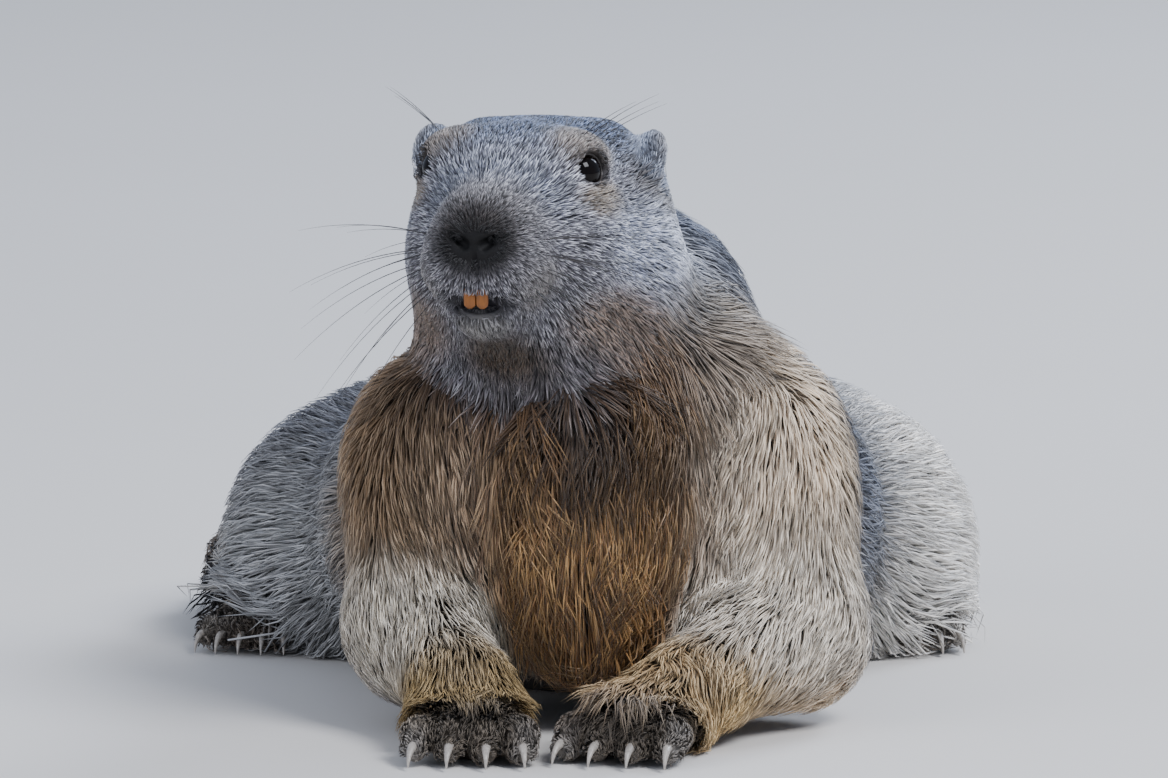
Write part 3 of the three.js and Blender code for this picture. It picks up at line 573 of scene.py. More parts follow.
BODY_PATCHES = [
    ("#5a5c62", "#9aa0ac", 0.9, patch((0, 90, 104), (118, 140, 48))),
    ("#b5ab9c", "#ddd5c8", 0.5, patch((0, 240, 40), (110, 50, 62))),
    # The left (+X) hip here, and the left shoulder, forearm and forepaw below, are paler than their right
    # (-X) mates, and the right flank next is dark: partly the coat's own colours, partly painted light on the
    # left side and painted shade on the right.
    ("#faf5ec", "#ffffff", 0.2, patch((122, 128, 44), (58, 84, 78))),
    ("#46464e", "#888a94", 0.9, patch((-108, 128, 70), (44, 84, 34))),
    ("#c9bda9", "#ece4d6", 0.4, patch((-142, 140, 26), (20, 80, 44))),
    ("#a2a19f", "#d8d8d8", 0.5, patch((-100, 62, 26), (44, 74, 44))),
    # Grey nape hair; its blue cast is a painted sky reflection.
    ("#4a4f5c", "#98a2b8", 0.9, patch((4, 8, 166), (56, 44, 44))),
    # Cream left shoulder, its paleness partly painted light.
    ("#ecd8bd", "#fff8ec", 0.25, patch((60, -50, 92), (42, 42, 52))),
    ("#957a5c", "#bfa98c", 0.5, patch((-62, -52, 84), (38, 40, 52))),
    ("#8b7a68", "#bfb2a2", 0.6, patch((-84, -30, 60), (26, 34, 40))),
    ("#5d4732", "#9c8160", 0.6, patch((-20, -82, 130), (62, 40, 24))),
    ("#9a7247", "#d3ae74", 0.6, patch((-4, -104, 78), (42, 44, 70))),
    # Painted shadow: the deep shade under the chin, laid on the throat as dark hair.
    ("#1f150e", "#4a3823", 0.4, patch((0, -104, 116), (34, 32, 16), 0.8)),
    ("#dacfbb", "#f7f1e6", 0.4, patch((-62, -74, 46), (30, 34, 26))),
    ("#f4e8d5", "#fffaf0", 0.25, patch((62, -72, 50), (32, 36, 32))),
    ("#a18759", "#d4b886", 0.5, patch((-50, -104, 18), (32, 34, 18))),
    ("#cdac78", "#efd8aa", 0.5, patch((40, -96, 16), (36, 36, 18))),
    ("#e8cdaa", "#fdeed8", 0.4, patch((66, -58, 14), (28, 32, 20))),
    ("#3a3d47", "#8f97a8", 0.8, patch((92, 8, 92), (30, 40, 62))),
    ("#17181d", "#646c7e", 0.7, stripe(
        [(34, -14, 172), (56, -30, 148), (74, -42, 122), (86, -48, 94), (90, -46, 66), (86, -42, 38)],
        14, 7)),
    ("#34363f", "#7f8494", 0.8, stripe([(-52, 10, 158), (-78, 36, 122), (-92, 78, 98)], 22, 12)),
    ("#5e554a", "#968a7b", 0.3, patch((-43, -136, 6), (24, 24, 14), 0.3)),
    ("#5e554a", "#968a7b", 0.3, patch((10, -135, 6), (24, 24, 14), 0.3)),
    ("#5f5449", "#90836f", 0.3, patch((-124, 104, 4), (22, 30, 12), 0.3)),
    ("#5f5449", "#90836f", 0.3, patch((112, 104, 4), (20, 30, 12), 0.3)),
]
TAIL_PATCHES = [
    ("#7b6f62", "#a8998a", 0.7, lambda p, q: np.ones(len(p))),
    ("#231f1e", "#3d3836", 0.2, patch((-141, 120, 12), (34, 72, 34), 0.3)),
]


def markings_and_painted_light(p, at):
    hair = np.tile(linear("#8f8a84"), (len(p), 1))
    tip = np.tile(linear("#c3beb8"), (len(p), 1))
    grizzle = np.full(len(p), 0.6)
    layers = [(BODY_PATCHES, np.ones(len(p))), (HEAD_PATCHES, 1 - fade(1000 * at["head"], 2, 14))]
    layers.append((TAIL_PATCHES, fade(1000 * (at["flesh"] - at["tail"]), -4, 6)))
    for patches, where in layers:
        for own, end, grain, mask in patches:
            share = (where * mask(p, at["q"]))[:, None]
            hair += share * (linear(own) - hair)
            tip += share * (linear(end) - tip)
            grizzle += share[:, 0] * (grain - grizzle)
    return hair, tip, grizzle


print("markings:", len(HEAD_PATCHES) + len(BODY_PATCHES) + len(TAIL_PATCHES), "patches")

# %% [markdown]
# Meshes this large are written from arrays in one go. The helper also stores named attributes, which is how
# the markings reach a material, and rides each piece on the frame's one body.


# %% Mesh writer
def mesh_piece(name, points, faces, finish, attributes=(), uv=None):
    mesh = bpy.data.meshes.new(name)
    sides = faces.shape[1]
    mesh.vertices.add(len(points))
    mesh.vertices.foreach_set("co", points.astype(np.float32).ravel())
    mesh.loops.add(faces.size)
    mesh.loops.foreach_set("vertex_index", faces.astype(np.int32).ravel())
    mesh.polygons.add(len(faces))
    mesh.polygons.foreach_set("loop_start", np.arange(0, faces.size, sides, dtype=np.int32))
    mesh.polygons.foreach_set("use_smooth", np.ones(len(faces), dtype=bool))
    for key, values in dict(attributes).items():
        colour = values.ndim == 2
        layer = mesh.attributes.new(key, "FLOAT_COLOR" if colour else "FLOAT", "POINT")
        if colour:
            values = np.concatenate([values, np.ones((len(values), 1))], 1)
        layer.data.foreach_set("color" if colour else "value", values.astype(np.float32).ravel())
    if uv is not None:
        layer = mesh.uv_layers.new(name="OFBake")
        layer.data.foreach_set("uv", uv[faces.ravel()].astype(np.float32).ravel())
    mesh.update(calc_edges=True)
    mesh.materials.append(finish)
    piece = bpy.data.objects.new(name, mesh)
    bpy.context.scene.collection.objects.link(piece)
    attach(piece, "root")
    return piece


# %% [markdown]
# Under the hair lies the hide: felted underfur on the body, bare leathery skin on nose, lips and toes. It
# takes the markings, darkened as in the shade between hairs, with a fine felted bump about 0.6 mm wide.

# %% Hide
hide, tree = material("felted_marmot_hide")
colour = add(tree, "ShaderNodeAttribute", {"attribute_name": "marking_and_painted_light"})
shade = add(tree, "ShaderNodeAttribute", {"attribute_name": "shade"})
place = add(tree, "ShaderNodeTexCoord")
FELT_SCALE = 1600.0  # one felted knot is about 0.6 mm
felt = add(tree, "ShaderNodeTexNoise", Vector=place.outputs["Object"], Scale=FELT_SCALE, Detail=3.0)
mottle = add(tree, "ShaderNodeMapRange", i0=felt.outputs["Fac"], i3=0.55, i4=1.25)
depth = add(tree, "ShaderNodeMath", {"operation": "MULTIPLY"},
            i0=mottle.outputs[0], i1=shade.outputs["Fac"])
# Painted shade: the hide's colour times the felt mottle and the shade attribute, which darkens furred hide as
# the shade between hairs.
mottle_and_painted_shade = add(tree, "ShaderNodeMix", {"data_type": "RGBA", "blend_type": "MULTIPLY"}, i0=1.0,
           i6=colour.outputs["Color"], i7=depth.outputs[0])
bump = add(tree, "ShaderNodeBump", Strength=0.5, Distance=0.0004, Height=felt.outputs["Fac"])
finish_surface(tree, Base_Color=mottle_and_painted_shade.outputs[2], Roughness=0.62, Specular_IOR_Level=0.22,
               Normal=bump.outputs[0])

skin_at = measure(skin_points)
hair = markings_and_painted_light(skin_points, skin_at)[0]
bare = head_patch((0, -98, -21), (10, 9, 8), 0.25)(skin_points, skin_at["q"])
bare = np.maximum(bare, 1 - fade(1000 * skin_at["paws"], -1.5, 1.5))
# Painted shade: furred hide dimmed to 0.42, bare nose and toes to 0.92.
skin = mesh_piece("skin", skin_points, skin_quads, hide,
                  {"marking_and_painted_light": hair, "shade": 0.42 + 0.5 * bare})
FLESH = ["head", "neck", "torso", "tail_base", "tail_tip"]
PAIRED = ("ear", "foreleg", "forepaw", "hindleg", "hindfoot")
FLESH += [f"{part}_{side}" for part in PAIRED for side in ("right", "left")]
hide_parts(*FLESH)
print("skin replaces", FLESH)

# %% [markdown]
# ## Hair
# Hair is not one thing over the body: velvet of three millimetres on the muzzle, short hair on head and
# paws, long guard hair on the trunk and the longest, loosest strands on the chest. These habits are painted
# with patches too. A tuft stands for a few hairs that cling together, as they do on a real coat.

# %% Habits of the hair
def on_breast(p, at):
    return np.maximum(at["on_bib"], fade(-p[:, 1], 0.04, 0.06) * fade(p[:, 2], 0.06, 0.09))


def on_wrists(p, at):
    return np.maximum(*[1 - fade(length_of(p - WRIST[s]), 0.016, 0.034) for s in (-1, 1)])


def on_face(p, at):
    return (1 - fade(at["head"], -0.001, 0.005)) * (1 - fade(at["q"][:, 1], -0.03, -0.005))


# Each line: length, width and spacing of the tufts in millimetres, and where they grow.
HABITS = [
    (27, 0.8, 1.2, lambda p, at: fade(p[:, 2], 0.11, 0.14)),
    (36, 0.72, 1.12, on_breast),
    (22, 0.78, 1.28, lambda p, at: at["on_leg"] * (1 - at["on_bib"])),
    (19, 0.75, 1.15, on_wrists),
    (30, 1.0, 1.6, lambda p, at: fade(at["flesh"] - at["tail"], -0.002, 0.004)),
    (15, 0.75, 1.2, lambda p, at: 1 - fade(at["head"], 0.003, 0.014)),
    (6.0, 0.52, 0.86, on_face),
    (7.5, 0.55, 0.9, lambda p, at: head_patch((0, -14, 22), (40, 34, 16))(p, at["q"])),
    (3.2, 0.4, 0.68, lambda p, at: head_patch((0, -88, -22), (24, 20, 22), 0.35)(p, at["q"])),
    (3.0, 0.45, 0.75, lambda p, at: 1 - fade(at["ears"], 0, 0.002)),
    (3.0, 0.5, 0.98, lambda p, at: 1 - fade(at["paws"], -0.0005, 0.002)),
    (3.0, 0.42, 0.75, lambda p, at: 1 - fade(at["eye_opening"], 0.001, 0.006)),
]
BODY_HABIT = (31.0, 0.98, 1.8)
LARGEST_STAND = 0.42  # of a hair's length, so that no hair stands like a bristle


def habits(p, at):
    length, width, spacing = [np.full(len(p), value) for value in BODY_HABIT]
    for long, wide, apart, mask in HABITS:
        share = mask(p, at)
        length += share * (long - length)
        width += share * (wide - width)
        spacing += share * (apart - spacing)
    stand = 1000 * at["depth"]
    stand += fade(at["flesh"] - at["tail"], -0.002, 0.004) * (COAT["tail"] - stand)
    stand = np.minimum(stand, LARGEST_STAND * length)
    return 0.001 * length, 0.001 * width, 0.001 * spacing, 0.001 * stand


print("habits:", [row[:3] for row in HABITS])

# %% [markdown]
# The lie of the coat tells the eye which way the body goes: back over the trunk, down on chest and legs,
# along the tail, and away from the nose on the head, as stroking the animal would feel. A slow wobble keeps
# it from looking combed.


# %% Lie of the coat
def lie_of(p, at):
    x, y, z = p.T * 1000
    side = np.sign(x) * fade(np.abs(x), 0, 60)
    front = fade(-y, 30, 80)[:, None]
    nape = (fade(z, 120, 150) * (1 - front[:, 0]))[:, None]
    trunk = np.stack([side * 0.25, np.full(len(p), 0.9), np.full(len(p), -0.42)], 1)
    chest = np.stack([side * -0.3, np.full(len(p), -0.1), np.full(len(p), -1.0)], 1)
    way = trunk + front * (chest - trunk)
    way += nape * (np.array([0.25, 0.55, -0.75]) - way)
    for s, name in ((-1, "foreleg_right"), (1, "foreleg_left")):
        share = (1 - fade(at[name], 0.001, 0.01))[:, None] * (1 - fade(z, 40, 74))[:, None]
        down = (WRIST[s] - ELBOW[s]) / np.linalg.norm(WRIST[s] - ELBOW[s])
        way += share * (down + (s * 0.15, 0, -0.55) - way)
    near = np.minimum(*[length_of(p - WRIST[s] + mm(0, 8, 8)) for s in (-1, 1)])
    way += (1 - fade(near, 0.018, 0.034))[:, None] * (np.array([0, -0.85, -0.75]) - way)
    q = at["q"]
    spread = unit(q - mm(0, -112, -22))
    spread[:, 2] -= 0.35 * fade(-q[:, 2], 0.0, 0.04)
    on_head = (1 - fade(at["head"], 0.002, 0.014))[:, None]
    way += on_head * (spread @ HEAD_AXES - way)
    on_ear = (1 - fade(at["ears"], 0, 0.002))[:, None]
    way += on_ear * (np.array([0.1, 0.45, 1.0]) @ HEAD_AXES - way)
    on_tail = fade(at["flesh"] - at["tail"], -0.002, 0.004)[:, None]
    away = np.stack([round_cone(a, b, 0, 0)(p) for a, b in zip(TAIL, TAIL[1:])], 1).argmin(1)
    along = unit(np.diff(np.array(TAIL), axis=0))[away]
    way += on_tail * (along - way)
    on_paw = (1 - fade(at["paws"], 0, 0.003))[:, None]
    way += on_paw * (np.array([0, -1.0, -0.25]) - way)
    return unit(way)


def wobble(p, sizes, rng):
    total = np.zeros(len(p))
    for size in sizes:
        for _ in range(3):
            wave = rng.normal(size=3) * 2 * math.pi / size
            total += np.sin(p @ wave + rng.uniform(0, 6.28)) / 3
    return total


def turned(way, normal, angle):
    way = unit(way - dot(way, normal)[:, None] * normal)
    return np.cos(angle)[:, None] * way + np.sin(angle)[:, None] * np.cross(normal, way)


# %% [markdown]
# Roots are spread over the skin in step with its area and the spacing wished for. None grow on the nose, in
# the mouth, on the eyes or under the belly, where the floor would hide them.

# %% Roots
rng = np.random.default_rng(7)
corners = skin_points[skin_quads]
middles = corners.mean(1)
areas = 0.5 * length_of(np.cross(corners[:, 2] - corners[:, 0], corners[:, 3] - corners[:, 1]))
spacing = habits(middles, measure(middles))[2]
share = np.cumsum(areas / spacing**2)
picks = np.searchsorted(share, np.arange(int(share[-1])) + rng.random(int(share[-1])))
picks = np.minimum(picks, len(areas) - 1)
u, v = rng.random((2, len(picks), 1))
c = corners[picks]
near_side = (1 - v) * c[:, 0] + v * c[:, 3]
far_side = (1 - v) * c[:, 1] + v * c[:, 2]
roots = ((1 - u) * near_side + u * far_side).astype(np.float32)
here, normals = slope_of(skin_field, roots)
normals = unit(normals)
at = measure(roots)
bald = head_patch((0, -100, -22), (8, 7, 4.2), 0.2)(roots, at["q"])
bald = np.maximum(bald, head_patch((0, -91, -40.5), (8, 12, 3.4), 0.2)(roots, at["q"]))
keep = (bald < 0.5) & (at["eye_opening"] > -0.0003) & ((roots[:, 2] > 0.004) | (normals[:, 2] > 0))
keep &= (normals[:, 2] > -0.75) | (roots[:, 2] > 0.06)
roots, normals = roots[keep], normals[keep]
at = {key: value[keep] for key, value in at.items()}
print("roots:", len(roots), "of", len(picks))

# %% [markdown]
# A tuft is a closed, flattened needle with three sides: rings of three points and a tip. It starts just
# under the skin, rises, and then follows the body's surface at the height of the coat, measured with the
# field, so that the tips end where the solids do. Neighbouring tips are drawn together into locks.


# %% Growing the tufts
ROOT_DEPTH, FLOOR_GAP = 0.0007, 0.0009
LENGTHS, HEIGHTS = (0.7, 1.2), (0.7, 1.06)  # shortest and longest, lowest and highest, as shares
LONGEST_PULL = 0.006
BAKE_WIDE, BAKE_LONG = 0.0014, 0.0028


def grow(roots, normals, at, steps, rise, seed):
    rng = np.random.default_rng(seed)
    length, width, _, stand = habits(roots, at)
    count = len(roots)
    length = length * rng.uniform(*LENGTHS, count)
    stand = stand * rng.uniform(*HEIGHTS, count)
    wave = np.random.default_rng(5)
    unruly = 0.26 + 0.34 * at["on_bib"] - 0.12 * at["on_head"]
    angle = unruly * wobble(roots, (0.05, 0.02), wave) + rng.normal(0, 0.2, count)
    way = turned(lie_of(roots, at), normals, angle)
    place, normal = roots - ROOT_DEPTH * normals, normals
    spine = [(place, way, normal)]
    for i in range(1, len(steps)):
        place = place + ((steps[i] - steps[i - 1]) * length)[:, None] * way
        here, slope = slope_of(skin_field, place.astype(np.float32))
        steep = np.maximum(length_of(slope), 0.3)
        normal = slope / steep[:, None]
        place = place + ((rise[i] * stand - here) / steep)[:, None] * normal
        place[:, 2] = np.maximum(place[:, 2], FLOOR_GAP)
        way = unit(way - dot(way, normal)[:, None] * normal)
        spine.append((place, way, normal))
    return spine, width


def gather(spine, steps, roots, share, crowd, seed):
    rng = np.random.default_rng(seed)
    chosen = rng.choice(len(roots), max(1, len(roots) // crowd), replace=False)
    tree = KDTree(len(chosen))
    for i, k in enumerate(chosen):
        tree.insert(roots[k], i)
    tree.balance()
    lock = np.array([tree.find(root)[1] for root in roots])
    tips = spine[-1][0]
    size = np.bincount(lock, minlength=len(chosen))
    mean = np.stack([np.bincount(lock, tips[:, k], len(chosen)) / np.maximum(size, 1) for k in range(3)], 1)
    pull = (mean[lock] - tips) * share[:, None]
    reach = np.maximum(length_of(pull), 1e-9)
    pull *= (np.minimum(reach, LONGEST_PULL) / reach)[:, None]
    return [(place + t**1.7 * pull, way, normal) for t, (place, way, normal) in zip(steps, spine)], lock


def bake_places(roots, normals):
    chart = np.abs(normals).argmax(1)
    side = 2 * chart + (normals[np.arange(len(roots)), chart] > 0)
    uv = np.zeros((len(roots), 2))
    for k in np.unique(side):
        pick = side == k
        flat = np.delete(roots[pick], k // 2, axis=1)
        flat = (flat - flat.min(0)) / (np.ptp(flat, axis=0).max() + 1e-6)
        uv[pick] = (np.array([k % 3, k // 3]) + 0.02 + 0.95 * flat) / (3, 2)
    return uv


def tufts(name, spine, width, steps, profile, roots, normals, colours, finish):
    count, rings = len(roots), len(steps) - 1
    points, along, across = [], [], []
    for t, wide, (place, way, normal) in zip(steps, profile, spine):
        side = np.cross(way, normal)
        half = (0.5 * wide * width)[:, None]
        if t == 1:
            points.append(place[:, None])
            along.append(np.full((count, 1), 1.0))
            across.append(np.zeros((count, 1)))
            break
        low = 0.3 * half * normal
        offsets = [-half * side - low, half * side - low, 0.6 * half * normal]
        points.append(np.stack([place + offset for offset in offsets], 1))
        along.append(np.full((count, 3), t))
        across.append(np.tile([-1.0, 1.0, 0.0], (count, 1)))
    points, along, across = [np.concatenate(part, 1) for part in (points, along, across)]
    each = points.shape[1]
    faces = [(0, 2, 1)]
    for r in range(rings):
        for a, b in ((0, 1), (1, 2), (2, 0)):
            if r == rings - 1:
                faces.append((3 * r + a, 3 * r + b, 3 * rings))
            else:
                faces += [(3 * r + a, 3 * r + b, 3 * r + 3 + b), (3 * r + a, 3 * r + 3 + b, 3 * r + 3 + a)]
    faces = (np.array(faces)[None] + each * np.arange(count)[:, None, None]).reshape(-1, 3)
    uv = bake_places(roots, normals)[:, None]
    uv = uv + np.stack([BAKE_WIDE * across, BAKE_LONG * (along - 0.5)], 2)
    spread = {key: np.repeat(value, each, axis=0) for key, value in colours.items()}
    spread |= {"along": along.ravel(), "across": across.ravel()}
    return mesh_piece(name, points.reshape(-1, 3), faces, finish, spread, uv.reshape(-1, 2))


# %% [markdown]
# Each hair of a marmot is banded: dark at the root, its own colour in the middle, and a silver or black tip.
# The material reads how far along the hair a point is, a draw that each tuft keeps and one that a whole
# clump shares, so that neighbours differ as hairs do. Fine streaks across a tuft split it up.

# %% Guard hair
guard_hair, tree = material("banded_guard_hair")


def read(name, output="Fac"):
    return add(tree, "ShaderNodeAttribute", {"attribute_name": name}).outputs[output]


along, across, draw, grizzle_of = read("along"), read("across"), read("draw"), read("grizzle")
own, tip_colour = read("marking_and_painted_light", "Color"), read("tip", "Color")
offset = add(tree, "ShaderNodeMath", {"operation": "MULTIPLY_ADD"}, i0=draw, i1=91.0, i2=across)
strand_place = add(tree, "ShaderNodeCombineXYZ", X=offset.outputs[0], Y=along)
strands = add(tree, "ShaderNodeTexNoise", Vector=strand_place.outputs[0], Scale=2.6, Detail=2.0)
rooted = add(tree, "ShaderNodeMapRange", i0=along, i1=0.0, i2=0.5, i3=0.26, i4=1.0)
streaked = add(tree, "ShaderNodeMapRange", i0=strands.outputs["Fac"], i1=0.3, i2=0.7, i3=0.72, i4=1.22)
lively = add(tree, "ShaderNodeMapRange", i0=read("clump"), i3=0.6, i4=1.4)
dim = add(tree, "ShaderNodeMath", {"operation": "MULTIPLY"}, i0=rooted.outputs[0], i1=streaked.outputs[0])
dim = add(tree, "ShaderNodeMath", {"operation": "MULTIPLY"}, i0=dim.outputs[0], i1=lively.outputs[0])
banded = add(tree, "ShaderNodeMapRange", i0=along, i1=0.45, i2=0.85)
banded = add(tree, "ShaderNodeMath", {"operation": "MULTIPLY"}, i0=banded.outputs[0], i1=grizzle_of)
SILVER_FROM, BLACK_BELOW = 0.45, 0.27
silver = add(tree, "ShaderNodeMath", {"operation": "GREATER_THAN"}, i0=draw, i1=SILVER_FROM)
silver = add(tree, "ShaderNodeMath", {"operation": "MULTIPLY"}, i0=silver.outputs[0], i1=banded.outputs[0])
black = add(tree, "ShaderNodeMath", {"operation": "LESS_THAN"}, i0=draw, i1=BLACK_BELOW)
black = add(tree, "ShaderNodeMath", {"operation": "MULTIPLY"}, i0=black.outputs[0], i1=banded.outputs[0])
mixed = add(tree, "ShaderNodeMix", {"data_type": "RGBA"}, i0=silver.outputs[0], i6=own, i7=tip_colour)
mixed = add(tree, "ShaderNodeMix", {"data_type": "RGBA"}, i0=black.outputs[0],
            i6=mixed.outputs[2], i7=rgba("#1d1a1b"))
hair_colour = add(tree, "ShaderNodeMix", {"data_type": "RGBA", "blend_type": "MULTIPLY"}, i0=1.0,
                  i6=mixed.outputs[2], i7=dim.outputs[0])
finish_surface(tree, Base_Color=hair_colour.outputs[2], Roughness=0.52, Specular_IOR_Level=0.3,
               Sheen_Weight=0.12, Sheen_Roughness=0.4)

# %% [markdown]
# The coat is cut into named pieces, each under two hundred thousand triangles. Long hair gets three rings of
# points and a tip, short hair two, which is enough at its size.

# %% Coat pieces
# Each has the steps along a tuft, how high it has risen at each, and how wide it is there.
LONG_HAIR = (0, 0.3, 0.65, 1), (0, 0.55, 0.88, 1.0), (0.7, 1, 0.72, 0)
SHORT_HAIR = (0, 0.45, 1), (0, 0.7, 1.0), (0.8, 1, 0)


def coat_names(p, at):
    x, y, z = p.T * 1000
    side = np.where(x < -4, "right", "left")
    names = np.where(y > 90, "rump_", "back_").astype("U24")
    names[(z > 122)] = "neck_"
    names[(y < -50) & (z <= 122)] = "chest_"
    on_leg = (at["on_leg"] > 0.5) & (at["on_bib"] < 0.5)
    names[on_leg] = "foreleg_"
    names = np.char.add(names, side)
    head = at["on_head"] > 0.55
    front = at["q"][:, 1] < -0.052
    side = np.where(at["q"][:, 0] < 0, "right", "left")
    names[head] = np.char.add(np.where(front, "muzzle_", "cheek_"), side)[head]
    names[head & ~front & (at["q"][:, 2] > 0.004)] = "crown"
    names[at["flesh"] > at["tail"]] = "tail"
    names[(at["paws"] < 0.0012) & (at["on_leg"] < 0.5)] = "paws"
    return names


names = coat_names(roots, at)
hair, tip, grizzle = markings_and_painted_light(roots, at)
colours = {"marking_and_painted_light": hair, "tip": tip, "grizzle": grizzle, "draw": rng.random(len(roots))}
total = 0
for name in np.unique(names):
    part = names == name
    short = name.split("_")[0] in ("muzzle", "cheek", "crown", "paws")
    steps, rise, profile = SHORT_HAIR if short else LONG_HAIR
    own_at = {key: value[part] for key, value in at.items()}
    spine, width = grow(roots[part], normals[part], own_at, steps, rise, 11)
    loose = 0.5 - 0.3 * own_at["on_head"]
    spine, lock = gather(spine, steps, roots[part], loose, 5 if short else 7, 13)
    ends = spine[-1][0]
    clear = eye_opening(to_head(ends).astype(np.float32)) > 0.0003
    clear &= skin_field(ends.astype(np.float32)) < 1.1 * habits(roots[part], own_at)[3] + 0.001
    spine = [tuple(values[clear] for values in ring) for ring in spine]
    own_colours = {key: value[part][clear] for key, value in colours.items()}
    chance = np.random.default_rng(17).random(len(lock))[lock[clear]]
    own_colours["clump"] = 0.5 + (0.85 + 0.75 * own_at["on_head"][clear]) * (chance - 0.5)
    made = tufts("coat_" + name, spine, width[clear], steps, profile, roots[part][clear],
                 normals[part][clear], own_colours, guard_hair)
    total += len(made.data.polygons)
    print(made.name, clear.sum(), "tufts,", len(made.data.polygons), "triangles")
print("coat:", total, "triangles")

# %% [markdown]
# ## Eyes and lids
# A marmot's eye is nearly black and wet, and its highlight is what makes the face alive. The eyeball is a
# finely divided ball, very smooth, with only a trace of brown. The lids are a soft rim that runs round it in
# an almond, close on the ball, so that no gap shows between eye and skin.

# %% Eyes
eye_gloss, tree = material("wet_dark_cornea")
place = add(tree, "ShaderNodeTexCoord")
IRIS_SCALE = 700.0  # one speck is about 1.4 mm
iris = add(tree, "ShaderNodeTexNoise", Vector=place.outputs["Object"], Scale=IRIS_SCALE, Detail=3.0)
brown = add(tree, "ShaderNodeMix", {"data_type": "RGBA"}, i0=iris.outputs["Fac"],
            i6=rgba("#050404"), i7=rgba("#110b08"))
finish_surface(tree, Base_Color=brown.outputs[2], Roughness=0.04, IOR=1.24)
AROUND, RINGS = 48, 31
turns = np.linspace(0, 2 * math.pi, AROUND + 1)[:-1]
turn, tilt = np.meshgrid(turns, np.linspace(0, math.pi, RINGS + 2)[1:-1])
ball = np.stack([np.sin(tilt) * np.cos(turn), np.sin(tilt) * np.sin(turn), np.cos(tilt)], -1).reshape(-1, 3)
ball = np.concatenate([ball, [[0, 0, 1], [0, 0, -1]]])
row = np.arange(AROUND)
after = (row + 1) % AROUND
faces = []
for first in range(0, AROUND * (RINGS - 1), AROUND):
    quad = np.stack([first + AROUND + row, first + AROUND + after, first + after, first + row], 1)
    faces += [quad[:, [0, 1, 2]], quad[:, [0, 2, 3]]]
for pole, first, flip in ((AROUND * RINGS, 0, 1), (AROUND * RINGS + 1, AROUND * (RINGS - 1), -1)):
    rim = np.stack([first + row, first + after], 1)[:, ::flip]
    faces.append(np.column_stack([rim, np.full(AROUND, pole)]))
faces = np.concatenate(faces)
for s, side in ((-1, "right"), (1, "left")):
    points = from_head((ball * EYE_RADIUS + EYE_AT[s]).astype(np.float32))
    eye = mesh_piece("eyeball_" + side, points, faces, eye_gloss)
    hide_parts("eye_" + side)
print("eyes:", len(faces), "triangles each")

# %% [markdown]
# ## One tree for all that tapers
# Lids, claws and whiskers are all a round section that follows a line and grows thinner. Geometry Nodes make
# that once: the tree takes curves, a radius, how thin the tip is and how late it thins, and gives a mesh.

# %% Tapered sweep
sweep = bpy.data.node_groups.new("tapered_sweep", "GeometryNodeTree")
sweep.is_modifier = True
SOCKETS = [("Lines", "NodeSocketGeometry"), ("Radius", "NodeSocketFloat"), ("Tip share", "NodeSocketFloat"),
           ("Lateness", "NodeSocketFloat"), ("Sides", "NodeSocketInt"), ("Finish", "NodeSocketMaterial")]
for name, kind in SOCKETS:
    sweep.interface.new_socket(name=name, in_out="INPUT", socket_type=kind)
sweep.interface.new_socket(name="Mesh", in_out="OUTPUT", socket_type="NodeSocketGeometry")
given = add(sweep, "NodeGroupInput").outputs
along = add(sweep, "GeometryNodeSplineParameter").outputs["Factor"]
late = add(sweep, "ShaderNodeMath", {"operation": "POWER"}, i0=along, i1=given["Lateness"])
thin = add(sweep, "ShaderNodeMath", {"operation": "SUBTRACT"}, i0=given["Tip share"], i1=1.0)
taper = add(sweep, "ShaderNodeMath", {"operation": "MULTIPLY_ADD"},
            i0=late.outputs[0], i1=thin.outputs[0], i2=1.0)
wide = add(sweep, "ShaderNodeMath", {"operation": "MULTIPLY"}, i0=taper.outputs[0], i1=given["Radius"])
section = add(sweep, "GeometryNodeCurvePrimitiveCircle", Resolution=given["Sides"], Radius=1.0)
body = add(sweep, "GeometryNodeCurveToMesh", Curve=given["Lines"], Profile_Curve=section.outputs[0],
           Scale=wide.outputs[0], Fill_Caps=True)
realized = add(sweep, "GeometryNodeRealizeInstances", Geometry=body.outputs[0])
painted = add(sweep, "GeometryNodeSetMaterial", Geometry=realized.outputs[0], Material=given["Finish"])
add(sweep, "NodeGroupOutput", i0=painted.outputs[0])


def swept(name, lines, radius, finish, tip=1.0, lateness=1.0, sides=12, closed=False):
    curve = bpy.data.curves.new(name + "_lines", "CURVE")
    curve.dimensions = "3D"
    for line in lines:
        spline = curve.splines.new("POLY")
        spline.points.add(len(line) - 1)
        places = np.column_stack([line, np.ones(len(line))]).astype(np.float32)
        spline.points.foreach_set("co", places.ravel())
        spline.use_cyclic_u = closed
    holder = bpy.data.objects.new(name + "_lines", curve)
    bpy.context.scene.collection.objects.link(holder)
    modifier = holder.modifiers.new("sweep", "NODES")
    modifier.node_group = sweep
    values = dict(zip([name for name, _ in SOCKETS[1:]], (radius, tip, lateness, sides, finish)))
    for socket in sweep.interface.items_tree:
        if socket.in_out == "INPUT" and socket.name in values:
            modifier[socket.identifier] = values[socket.name]
    shown = holder.evaluated_get(bpy.context.evaluated_depsgraph_get())
    mesh = bpy.data.meshes.new_from_object(shown)
    bpy.data.objects.remove(holder)
    mesh.name = name
    mesh.polygons.foreach_set("use_smooth", np.ones(len(mesh.polygons), dtype=bool))
    piece = bpy.data.objects.new(name, mesh)
    bpy.context.scene.collection.objects.link(piece)
    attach(piece, "root")
    size = np.array([v.co for v in mesh.vertices])
    print(name, len(mesh.polygons), "faces, box", size.min(0).round(4), size.max(0).round(4))
    return piece


# %% [markdown]
# The rim of the lids is bare skin, nearly black and a little moist where it meets the eye. It is darker
# than the hair around it, which draws the almond that the photograph shows.

